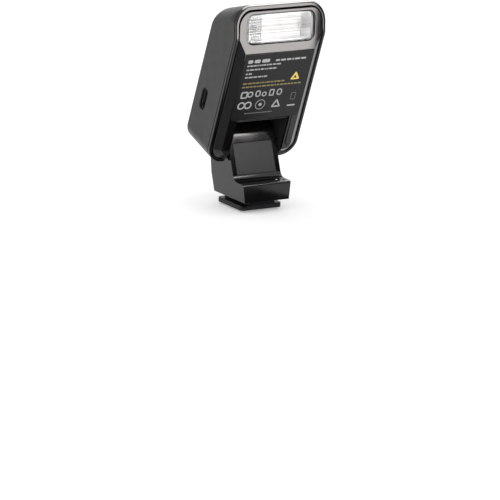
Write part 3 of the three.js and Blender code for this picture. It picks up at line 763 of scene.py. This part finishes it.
def label_print():
    """Generic marks in place of the printing: dashes for lines, and plain shapes for symbols."""
    white = [
        *dashes(-13.7, -2.4, 42.1, 1.5, 3), *dashes(-1.2, 12.5, 41.9, 0.8, 5),
        *dashes(-13.7, 2.2, 40.2, 0.62, 7), *dashes(-13.6, -0.1, 38.4, 0.62, 11),
        *dashes(-13.5, -10.1, 36.6, 0.62, 13), *dashes(-13.5, -2.9, 35, 0.62, 17),
        ring_of(centred(3.1, 3.1, 0.7, (-11.8, 27)), 0.6), ring_of(circle(1.35, (-9.1, 27.1), 28), 0.55),
        ring_of(centred(2.3, 3, 1.1, (-5.6, 27.2)), 0.5), ring_of(circle(1.1, (-2.7, 26.8), 24), 0.45),
        ring_of(centred(2.2, 3, 0.4, (0.6, 27.2)), 0.5), ring_of(centred(2.4, 3, 1.2, (4.1, 27.2)), 0.5),
        ring_of(circle(1.7, (-12, 22.2), 32), 0.6), ring_of(circle(1.7, (-9, 22.2), 32), 0.6),
        ring_of(circle(2.2, (-3.4, 22.1), 36), 0.22), (circle(0.7, (-3.4, 22.1), 20), None),
        ring_of(polygon(2.6, 3, (3.9, 21.6)), 0.62),
        (centred(3.6, 0.65, 0.2, (11, 20.5), 2), None),
    ]
    grey = [*dashes(-9.7, 3, 18.4, 0.45, 19), ring_of(centred(2.2, 3.2, 0.5, (11, 24.7)), 0.22)]
    gold = [*dashes(-13.7, 5.9, 32.2, 0.62, 23), *dashes(-13.7, 13, 30.6, 0.62, 29)]
    sign = [(polygon(2.5, 3, (9.7, 33.6)), polygon(0.9, 3, (9.7, 33.5), corner=0.1))]
    for name, shapes in (("white", white), ("grey", grey), ("gold", gold), ("yellow", sign)):
        inked(f"label_print_{name}", shapes, f"ink_{name}", LABEL_FACE - 0.02, LABEL_FACE + 0.01)


def ribs(start, end, pitch, height, base):
    """A line of round ribs along one edge, as (place, level) points."""
    count, steps = round((end - start) / pitch), 5
    points = []
    for i in range(count):
        for s in range(steps):
            t = (i + s / steps) / count
            points.append((start + (end - start) * t, base - height * math.sin(math.pi * s / steps)))
    return points


def lens_window():
    """The clear window: flat border, upright ribs at both ends, and level ribs all over its back."""
    low, high = extent("lens_window", LENS)
    border, end_zone, face = 1.0, 6.2, 0.35
    width, height = high.x, high.z
    front_edge = [(-width - 1, 0.0), (-width + border, 0.0)]
    front_edge += ribs(-width + border, -width + end_zone, 0.75, 0.16, face)
    front_edge += [(-width + end_zone, face), (width - end_zone, face)]
    front_edge += ribs(width - end_zone, width - border, 0.75, 0.16, face)
    front_edge += [(width - border, face - 0.01), (width - border + 0.01, 0.0), (width + 1, 0.0)]
    front_ribs = prism("z", [*front_edge, (width + 1, 9), (-width - 1, 9)], -height - 1, height + 1)
    back = high.y - 0.2
    back_line = [(-height - 1, back), *ribs(-height + border, height - border, 0.95, -0.18, back),
                 (height + 1, back)]
    outline = [(-1, -height - 1), *[(y, z) for z, y in back_line], (-1, height + 1)]
    back_ribs = prism("x", outline, -width - 1, width + 1)
    shape = slab("y", rounded(low.xz, high.xz, 2.6, 14), 0, high.y, 0.4)
    solid = combine(shape, [front_ribs, back_ribs], "INTERSECT")
    piece("lens", solid, LENS, "head", "lens_clear", ["lens_window"])


def reflector():
    """A silvered trough with a curved back, which the lamp tube lies across."""
    low, high = extent("reflector", LENS)
    wall = 0.4

    def bowl(thinner, past):
        sections = []
        for i in range(13):
            t = i / 12
            half_width = high.x - thinner - 1.5 * t ** 2
            half_height = (high.z - thinner) * math.sqrt(max(0.05, 1 - 0.62 * t ** 2.4))
            depth = low.y + (high.y - low.y - past) * t
            sections.append((depth, centred(2 * half_width, 2 * half_height, 2.2)))
        return sections

    inner = bowl(wall, wall)
    solid = cut(loft("y", bowl(0, 0)), loft("y", [(low.y - 1, inner[0][1]), *inner]),
                rod("x", 0.9, centre_of("flash_tube", LENS).yz, -20, 20, 24))
    piece("reflector_bowl", solid, LENS, "head", "reflector_silver", ["reflector"], 50)


def flash_tube():
    """The lamp: a glass tube with a bore, and a metal cap and lead at each end."""
    low, high = extent("flash_tube", LENS)
    at = centre_of("flash_tube", LENS).yz
    radius = high.z
    ends = [(radius - i, low.x + d) for d, i in edge_round(0.5)]
    ends += [(radius - i, high.x - d) for d, i in reversed(edge_round(0.5))]
    bore = rod("x", radius * 0.62, at, low.x + 0.8, high.x - 0.8)
    piece("lamp_tube", cut(turned("x", ends, at, 40), bore), LENS, "head", "lamp_glass", ["flash_tube"])
    for side in ("left", "right"):
        node = f"tube_electrode_{side}"
        near, far = extent(node, LENS)
        way = 1 if side == "right" else -1
        start, end = (near.x, far.x) if way > 0 else (far.x, near.x)
        cap = [(radius - 0.15, start), (radius, start + way * 0.15), (radius, start + way * 1.45),
               (radius - 0.2, start + way * 1.6), (0.5, start + way * 1.6), (0.5, end)]
        piece(f"lamp_cap_{side}", turned("x", cap, at, 32), LENS, "head", "steel", [node])


# ------------ foot and contacts

FOOT = {"width": 18.6, "length": 18.5, "thick": 2.0, "riser": 12.3, "top": 3.9}
FOOT_SCREWS = [f"foot_screw_{i}" for i in range(1, 5)]
CONTACTS = [f"contact_pin_{i}" for i in range(1, 6)]
FLANGE = 0.5  # how far a contact's flange stands out from its shank
PLAY = 0.25  # gap round a piece that slides


def pin_radius(node):
    low, high = extent(node)
    return (high.x - low.x) / 2 - FLANGE


def contact_holes(low, high):
    return [rod("z", pin_radius(n) + PLAY, centre_of(n).xy, low, high) for n in CONTACTS]


def shank_holes(low, high):
    return [rod("z", 0.8, centre_of(n).xy, low, high, 24) for n in FOOT_SCREWS]


def shoe_foot():
    plate = slab("z", centred(FOOT["width"], FOOT["length"], 1.6), 0, FOOT["thick"], 0.3, 0.25)
    riser = slab("z", centred(FOOT["riser"], FOOT["length"], 0.8), 1, FOOT["top"], 0, 0.1)
    seats = [mouth("z", circle(1.45, centre_of(n).xy, 32), 1.1, 0, 0.12) for n in FOOT_SCREWS]
    rounds = [mouth("z", circle(pin_radius(n) + PLAY, centre_of(n).xy, 32), 1, 0, 0.15) for n in CONTACTS]
    solid = cut(join(plate, riser), *seats, *rounds, *contact_holes(0.5, 5), *shank_holes(0.5, 5))
    on_base("foot_shoe", solid, "foot_metal", "shoe_foot")
    for node in FOOT_SCREWS:
        low, high = extent(node)
        place = facing((*centre_of(node).xy, low.z), (0, 0, -1))
        screw(f"{node}_head", node, place, "base", 1.35, 0.9, 0.7, high.z - low.z)


def contact_pins():
    """Sprung contacts with domed tips, held in by a flange."""
    for node in CONTACTS:
        low, high = extent(node)
        radius = pin_radius(node)
        turns = [math.pi / 2 * i / 6 for i in range(7)]
        profile = [(radius * math.sin(t), low.z + radius * 0.45 * (1 - math.cos(t))) for t in turns]
        shoulder = high.z - 0.5
        rim, edge = radius + FLANGE, 0.08
        profile += [(radius, shoulder), (rim - edge, shoulder), (rim, shoulder + edge), (rim, high.z - edge),
                    (rim - edge, high.z)]
        piece(f"{node}_gilt", turned("z", profile, centre_of(node).xy, 32), UPRIGHT, node, "brass", [node])


def base_plate():
    low, high = extent("base_plate")
    plate = slab("z", rounded(low.xy, high.xy, 1.5), low.z, high.z, 0.15, 0.15)
    solid = cut(plate, *contact_holes(3, 6), *shank_holes(3, 6))
    on_base("closing_plate", solid, "matte_black", "base_plate")


def contact_board():
    """The circuit board above the contacts, with a gilt pad over each."""
    low, high = extent("contact_board")
    board = slab("z", rounded(low.xy, high.xy, 0.8), low.z, high.z, 0.05, 0.05)
    on_base("contact_circuit", board, "circuit_board", "contact_board")
    pads = [rod("z", 1.0, centre_of(n).xy, low.z - 0.05, low.z + 0.02, 24) for n in CONTACTS]
    on_base("contact_pads", join(*pads), "brass")


# ------------ neck

NECK_LOW, NECK_HIGH = extent("neck_body")
NECK = {"half": NECK_HIGH.x, "low_half": 10.1, "taper_top": 11.4, "barrel": 6.85}
TOE = {"front": NECK_LOW.y, "top": 11.3, "edge": 1.0, "ledge": -8.2}
FACE_START = (-4.71, 13.36)
HEEL = (10.3, NECK_LOW.z)
TOE_HOLE = {"at": (8.9, -9.9), "radius": 0.7, "low": 10.2}
PIN_HOLE = 1.6  # radius of the holes that the hinge pin goes through


def neck_side():
    """The neck and toe seen from the side."""
    centre, radius = HINGE.yz, NECK["barrel"]
    heel_at = tangent(HEEL, centre, radius, 1)
    face_at = 360 + tangent(FACE_START, centre, radius, -1)
    fillet = curve(FACE_START, (FACE_START[0] - 0.75, TOE["top"]), (TOE["ledge"], TOE["top"]))
    toe = (TOE["front"] + 0.2 + TOE["edge"], TOE["top"] - TOE["edge"])
    return [HEEL, *arc(centre, radius, heel_at, face_at, 44), *fillet,
            *arc(toe, TOE["edge"], 90, 175, 8), (TOE["front"], HEEL[1])]


def neck_front():
    """The neck seen from the front: straight, then narrower towards the foot."""
    half, low, bottom = NECK["half"], NECK["low_half"], HEEL[1]
    top = NECK_HIGH.z + 1
    return [(-low, bottom), (low, bottom), (half, NECK["taper_top"]), (half, top), (-half, top),
            (-half, NECK["taper_top"])]


def neck_body():
    side = prism("x", neck_side(), -20, 20)
    shape = bevelled(combine(side, [prism("y", neck_front(), -30, 30)], "INTERSECT"), 0.4, 3)
    plate_low, plate_high = extent("base_plate")
    seat = around(plate_low.xy, plate_high.xy, FIT, 1.6)
    panel_low, panel_high = extent("neck_front_panel", PANEL)
    pocket = around(panel_low.xz, panel_high.xz, FIT, 0.5, 4)
    pin = centre_of("toe_pin").xy
    bottom = HEEL[1]
    solid = cut(
        shape,
        prism("z", seat, bottom - 1, plate_high.z + FIT),
        block((-8.2, -9.6, bottom), (8.2, 6.2, 9)),
        rod("x", PIN_HOLE, HINGE.yz, -20, 20, 48),
        moved(mouth("y", pocket, panel_high.y + FIT, 0, 0.12), PANEL),
        mouth("z", circle(0.6, pin, 24), 9.7, TOE["top"], 0.08),
        mouth("z", circle(TOE_HOLE["radius"], TOE_HOLE["at"], 32), TOE_HOLE["low"], TOE["top"], 0.18),
        *shank_holes(bottom, 8.9),
    )
    on_base("neck", solid, "gloss_black", "neck_body")


def neck_details():
    low, high = extent("neck_front_panel", PANEL)
    panel = slab("y", rounded(low.xz, high.xz, 0.45, 6), low.y, high.y, 0.12)
    piece("neck_panel", panel, PANEL, "base", "panel_grey", ["neck_front_panel"])
    low, high = extent("toe_pin")
    dome = [(0.5, low.z), *[(0.5 - i, high.z - d) for d, i in reversed(edge_round(0.15))]]
    on_base("toe_stud", turned("z", dome, centre_of("toe_pin").xy, 24), "steel", "toe_pin")


# ------------ hinge hardware

def washer(name, node, slot, edge):
    low, high = extent(node)
    outer = (high.z - low.z) / 2
    section = [(low.x, PIN_HOLE, edge), (high.x, PIN_HOLE, edge), (high.x, outer, edge), (low.x, outer, edge)]
    on_base(name, sleeve(section, centre_of(node).yz), slot, node)


def washers():
    for side in ("left", "right"):
        washer(f"hinge_shim_{side}", f"hinge_washer_{side}", "brass", 0.12)
    washer("hinge_spring", "hinge_spring_washer", "steel", 0.08)


def hinge_pin():
    """A headed pin: a slot in its head and a chamfer at its end."""
    low, high = extent("hinge_pin")
    head = (high.z - low.z) / 2
    profile = [(head - i, low.x + d) for d, i in edge_round(0.25)]
    profile += [(head, low.x + 0.8), (1.5, low.x + 0.8), (1.5, high.x - 0.3), (1.2, high.x)]
    slot = block((low.x - 1, -9, HINGE.z - 0.3), (low.x + 0.4, 22, HINGE.z + 0.3))
    solid = cut(turned("x", profile, HINGE.yz), slot)
    on_base("hinge_axle", solid, "steel", "hinge_pin")


def hinge_nut():
    low, high = extent("hinge_nut")
    radius = 2.5
    profile = [(radius - 0.35, low.x), (radius, low.x + 0.22), (radius, high.x - 0.22),
               (radius - 0.35, high.x)]
    hexagon = prism("x", arc(HINGE.yz, radius, 0, 300, 5), low.x, high.x)
    nut = combine(hexagon, [turned("x", profile, HINGE.yz)], "INTERSECT")
    on_base("hinge_hexagon", cut(nut, rod("x", PIN_HOLE, HINGE.yz, 0, 20, 48)), "steel", "hinge_nut")


def hinge_bushes():
    """Flanged bushes in the bracket's ears."""
    for side, way in (("left", -1), ("right", 1)):
        node = f"hinge_bush_{side}"
        low, high = extent(node, HEAD)
        inner, outer = (high.x, low.x) if way < 0 else (low.x, high.x)
        shoulder = outer - way * 0.6
        section = [(inner, 1.8, 0.1), (outer, 1.8, 0.1), (outer, 2.8, 0.12), (shoulder, 2.8, 0.1),
                   (shoulder, 2.35, 0), (inner, 2.35, 0.1)]
        on_head(f"{node}_flanged", sleeve(section), "brass", node)


def hinge_bracket():
    """A bent sheet-metal U round the recess, with a stiffening rib pressed into its top."""
    low, high = extent("hinge_bracket", HEAD)
    half, sheet = RECESS["half"], 1.2
    ears = [(low.x, low.z, 0.3), (-half, low.z, 0.3), (-half, high.z - sheet, 0.3),
            (half, high.z - sheet, 0.3), (half, low.z, 0.3), (high.x, low.z, 0.3),
            (high.x, high.z, 1.2), (low.x, high.z, 1.2)]
    solid = bevelled(prism("y", filleted(ears, 4), low.y, high.y), 0.12)
    rib = slab("z", centred(14, 3, 1.4, (0, 1)), high.z - 0.45, high.z + 1, 0.2)
    solid = cut(solid, rod("x", 2.45, (0, 0), low.x - 1, high.x + 1, 48), rib)
    on_head("hinge_yoke", solid, "matte_black", "hinge_bracket")


# ------------ what the head holds

def usb_socket():
    """The charging socket: a steel can, a black throat inside it, and a tongue with gilt contacts."""
    low, high = extent("usb_socket", HEAD)
    centre = centre_of("usb_socket", HEAD).yz
    size = high.yz - low.yz
    low.x += 0.6

    def oval(less, radius, start, end):
        return prism("x", centred(size.x - less, size.y - less, radius, centre), low.x + start, high.x - end)

    def bar(start, end, half, bottom, top):
        return block((low.x + start, centre.x - half, bottom), (high.x - end, centre.x + half, top))

    can = cut(oval(0, 1.5, 0, 0), oval(0.5, 1.3, -1, 1))
    on_head("usb_can", can, "steel", "usb_socket")
    throat = cut(oval(0.52, 1.3, 0.25, 1.02), oval(0.9, 1.1, -1, 1.5))
    tongue = bar(1, 1.4, 0.35, centre.y - 3.2, centre.y + 3.2)
    on_head("usb_throat", join(throat, bevelled(tongue, 0.1)), "matte_black")
    contacts = [bar(1.2, 1.6, 0.38, centre.y - 2.9 + i * 0.5, centre.y - 2.65 + i * 0.5) for i in range(12)]
    on_head("usb_contacts", join(*contacts), "brass")


def chip(x, z, width, height, front, thick):
    """A small moulded component standing on the front of the main board."""
    low = (x - width / 2, front - thick, z - height / 2)
    return bevelled(block(low, (x + width / 2, front, z + height / 2)), 0.12)


def main_board():
    board = from_cad("main_board", 0.06)
    piece("main_circuit", board, UPRIGHT, "head", "circuit_board", ["main_board"])
    front = extent("main_board", HEAD)[0].y + 0.02
    draw = random.Random(4)
    chips = [chip(8 + draw.uniform(-0.3, 0.3), 24 + 3 * i, 3.2, 1.8, front, 0.4) for i in range(5)]
    chips += [chip(-11 + 3.2 * i, 17.3, 1.6, 1.1, front, 0.5) for i in range(5)]
    on_head("board_chips", join(*chips), "matte_black")


def inner_parts():
    """The battery pouch, the transformer, the main capacitor and the trigger coil."""
    low, high = extent("battery_pack", HEAD)
    pouch = slab("z", rounded(low.xy, high.xy, 1.6), low.z, high.z, 0.5, 0.5)
    on_head("battery_pouch", pouch, "battery_wrap", "battery_pack")
    low, high = extent("charge_transformer", HEAD)
    core = slab("z", rounded(low.xy, high.xy, 0.6), low.z, high.z, 0.25, 0.25)
    groove = cut(block(low + Vector((-1, -1, 1.4)), high + Vector((1, 1, -1.4))),
                 prism("z", around(low.xy, high.xy, -0.7, 1.2), 0, 60))
    on_head("transformer_winding", cut(core, groove), "copper_coil", "charge_transformer")
    low, high = extent("main_capacitor", HEAD)
    radius = (high.x - low.x) / 2
    profile = [(radius - i, low.z + d) for d, i in edge_round(0.5)]
    profile += [(radius, low.z + 2), (radius - 0.25, low.z + 2.3), (radius - 0.25, low.z + 2.6),
                (radius, low.z + 2.9)]
    profile += [(radius - i, high.z - d) for d, i in reversed(edge_round(0.5))]
    sleeve_top = cut(turned("z", profile, centre_of("main_capacitor", HEAD).xy),
                     turned("z", [(radius - 1, high.z - 0.3), (radius - 1, 99)],
                            centre_of("main_capacitor", HEAD).xy))
    on_head("capacitor_can", sleeve_top, "capacitor_sleeve", "main_capacitor")
    low, high = extent("trigger_coil", HEAD)
    radius = (high.x - low.x) / 2
    profile = [(radius, low.z), (radius, low.z + 0.7), (radius - 0.4, low.z + 0.75),
               (radius - 0.4, high.z - 0.75), (radius, high.z - 0.7), (radius, high.z)]
    winding = turned("z", profile, centre_of("trigger_coil", HEAD).xy)
    on_head("trigger_winding", winding, "copper_coil", "trigger_coil")


# ------------ rear cover and controls

BUTTONS = ["mode", "minus", "plus", "test"]
REAR_SCREWS = [f"rear_screw_{i}" for i in range(1, 5)]


def tact_switches():
    """The switch behind each button: a steel frame with a round plunger."""
    for name in BUTTONS:
        node = f"{name}_tact_switch"
        low, high = extent(node, HEAD)
        at = centre_of(node, HEAD).xz
        base = slab("y", rounded(low.xz, high.xz, 0.3), low.y, high.y - 0.7, 0, 0.1)
        plunger = turned("y", [(0.95, low.y + 0.5), (0.95, high.y - 0.1), (0.85, high.y)], at, 32)
        on_head(f"{name}_switch_body", join(base, plunger), "steel", node)


def button_radius(name):
    low, high = extent(f"{name}_button", HEAD)
    return (high.x - low.x) / 2 - 0.7


def rear_cover():
    low, high = COVER_LOW, COVER_HIGH
    plate = slab("y", rounded(low.xz, high.xz, 3), low.y, high.y, 0, 0.3)
    holes = [mouth("y", circle(button_radius(n) + PLAY, centre_of(f"{n}_button", HEAD).xz), 0, high.y, 0.2)
             for n in BUTTONS]
    knob = centre_of("power_switch", HEAD)
    travel = 3
    slot = centred(3.4 + travel + 2 * PLAY, 3 + PLAY, 0.6, (knob.x + travel / 2, knob.z))
    window_low, window_high = extent("indicator_window", HEAD)
    window = around(window_low.xz, window_high.xz, FIT, 1)
    seats = []
    for node in REAR_SCREWS:
        at = centre_of(node, HEAD).xz
        seats += [rod("y", 0.75, at, 0, 20, 24), mouth("y", circle(1.35, at), high.y - 0.7, high.y, 0.1)]
    solid = cut(plate, *holes, mouth("y", slot, 0, high.y, 0.2), prism("y", window, 0, 20), *seats)
    on_head("rear_plate", solid, "matte_black", "rear_cover")
    for node in REAR_SCREWS:
        low, high = extent(node, HEAD)
        at = centre_of(node, HEAD)
        place = HEAD @ facing((at.x, high.y, at.z), (0, 1, 0))
        screw(f"{node}_cross", node, place, "head", 1.25, 0.55, 0.65, high.y - low.y)


def push_buttons():
    """Buttons with a round shoulder, a shallow dish and a symbol."""
    symbols = {
        "mode": [ring_of(circle(1.2, (0, 0), 32), 0.3)],
        "minus": [(centred(2.2, 0.4, 0.15, (0, 0), 3), None)],
        "plus": [(centred(2.2, 0.4, 0.15, (0, 0), 3), None), (centred(0.4, 2.2, 0.15, (0, 0), 3), None)],
        "test": [([(0.2, 1.4), (-0.9, -0.2), (-0.1, -0.2), (-0.3, -1.4), (0.9, 0.3), (0.1, 0.3)], None)],
    }
    for name in BUTTONS:
        node = f"{name}_button"
        low, high = extent(node, HEAD)
        at = centre_of(node, HEAD).xz
        radius = button_radius(name)
        shoulder = low.y + 0.5
        profile = [(radius + 0.62, low.y), (radius + 0.7, low.y + 0.08), (radius + 0.7, shoulder),
                   (radius, shoulder)]
        profile += [(radius - i, high.y - d) for d, i in reversed(edge_round(0.3))]
        dish = 0.12
        profile += [(radius - 0.5, high.y - dish * 0.5), (radius - 0.8, high.y - dish)]
        piece(f"{name}_cap", turned("y", profile, at), HEAD, node, "button_rubber", [node])
        shapes = [tuple(line and [(a + at.x, b + at.y) for a, b in line] for line in shape)
                  for shape in symbols[name]]
        inked(f"{name}_symbol", shapes, "ink_white", high.y - dish - 0.01, high.y - dish + 0.02, node)


def power_switch():
    """A sliding knob with three grip grooves."""
    low, high = extent("power_switch", HEAD)
    centre = centre_of("power_switch", HEAD)
    knob = slab("y", centred(3.4, 2.6, 0.5, centre.xz), low.y + 0.2, high.y, 0, 0.2)
    slider = slab("y", rounded(low.xz, high.xz, 0.4), low.y, low.y + 0.7)
    grooves = [prism("z", circle(0.28, (centre.x + shift, high.y + 0.08), 16), low.z - 1, high.z + 1)
               for shift in (-0.9, 0, 0.9)]
    piece("power_knob", cut(join(knob, slider), *grooves), HEAD, "power_switch", "button_rubber",
          ["power_switch"])


def indicator_window():
    """A smoked strip with a row of shallow round lamps moulded into it."""
    low, high = extent("indicator_window", HEAD)
    strip = slab("y", rounded(low.xz, high.xz, 0.9), low.y, high.y, 0, 0.1)
    middle = centre_of("indicator_window", HEAD)
    lamps = [turned("y", [(0.7, high.y - 0.12), (0.85, high.y + 1)], (middle.x + shift, middle.z), 32)
             for shift in (-5.4, -1.8, 1.8, 5.4)]
    on_head("indicator_strip", cut(strip, *lamps), "indicator", "indicator_window")


# ------------ scene

def all_looks():
    for make in (
        shoe_foot, contact_pins, base_plate, contact_board, neck_body, neck_details, hinge_pin, washers,
        hinge_nut, hinge_bushes, hinge_bracket, head_shell, front_rim, front_fascia, label_plate,
        label_print, lens_window, reflector, flash_tube, usb_socket, main_board, inner_parts,
        tact_switches, rear_cover, push_buttons, power_switch, indicator_window,
    ):
        make()


def studio():
    """An even white surround."""
    world = bpy.data.worlds.new("studio")
    bpy.context.scene.world = world
    world.use_nodes = True
    background = world.node_tree.nodes["Background"].inputs
    background["Color"].default_value = (1, 1, 1, 1)
    background["Strength"].default_value = 1.0


def sheet(name, corners, colour, glow=0.0):
    """A flat sheet through corners in mm, dull or glowing."""
    mesh = bpy.data.meshes.new(name)
    mesh.from_pydata([tuple(Vector(c) * MM) for c in corners], [], [(0, 1, 2, 3)])
    made = added(name, mesh)
    paint = Paint(name, colour, 0.9, specular_ior_level=0.0)
    paint.rough(paint.between(paint.noise(40, 4), 0.85, 0.95))
    if glow:
        paint.set(paint.shader, "Emission Color", (*colour, 1))
        paint.set(paint.shader, "Emission Strength", glow)
    mesh.materials.append(paint.material)
    return made


def only_reflected(name, corners, colour, glow=0.0):
    """A card that is seen only in reflections."""
    card = sheet(name, corners, colour, glow)
    card.visible_camera = False
    card.visible_diffuse = False
    card.visible_shadow = False
    card.visible_transmission = False


def level(low, high, z):
    """The corners of a level sheet."""
    return [(low[0], low[1], z), (high[0], low[1], z), (high[0], high[1], z), (low[0], high[1], z)]


def upright(start, end, bottom, top):
    """The corners of a sheet that stands on the line from start to end."""
    return [(*start, bottom), (*end, bottom), (*end, top), (*start, top)]


def surroundings():
    """A floor, and the cards that the polished faces mirror."""
    white, grey, black = (1, 0.95, 0.93), (0.4, 0.4, 0.4), (0.002, 0.002, 0.002)
    reach, glow = 4000, 10
    under = CAD_BOX[0][2] / MM - 0.1  # just below the tips of the contacts
    sheet("floor", level((-reach, -reach), (reach, reach), under), (0.9, 0.9, 0.9), 0.3)
    only_reflected("floor_flag", level((-28, -500), (24, -14), 0.3), black)
    only_reflected("grey_flag", level((-400, -500), (-28, -14), 0.3), grey)
    only_reflected("front_flag", upright((-20, -170), (400, -170), 0.4, 110), black)
    only_reflected("left_flag", upright((-300, -120), (-30, -260), 0.4, 200), black)
    only_reflected("front_card", upright((-5, -50), (36, -50), 53, 120), white, glow)
    only_reflected("top_card", level((-100, 50), (700, 420), 450), white, glow)


def camera():
    """The camera, to the left of the flash's front and a little above it, with a slight roll."""
    turn, rise, roll = (math.radians(a) for a in (32.1, 14.45, 2.18))
    away, lower, aside = 1568.6, 18.07, 0.25  # from the foot: back, down the picture, and across it
    forward = Vector((math.sin(turn) * math.cos(rise), math.cos(turn) * math.cos(rise), -math.sin(rise)))
    across = Vector((math.cos(turn), -math.sin(turn), 0))
    down = forward.cross(across)
    right = math.cos(roll) * across - math.sin(roll) * down
    below = math.sin(roll) * across + math.cos(roll) * down
    data = bpy.data.cameras.new("camera")
    data.lens = 288
    data.sensor_width = 36
    data.clip_end = 50
    made = added("camera", data)
    place = (-away * forward + lower * below + aside * right) * MM
    axes = Matrix((right, -below, -forward)).transposed().to_4x4()
    made.matrix_world = Matrix.Translation(place) @ axes
    bpy.context.scene.camera = made


all_looks()
camera()
studio()
surroundings()
bpy.context.scene.view_settings.view_transform = "Standard"
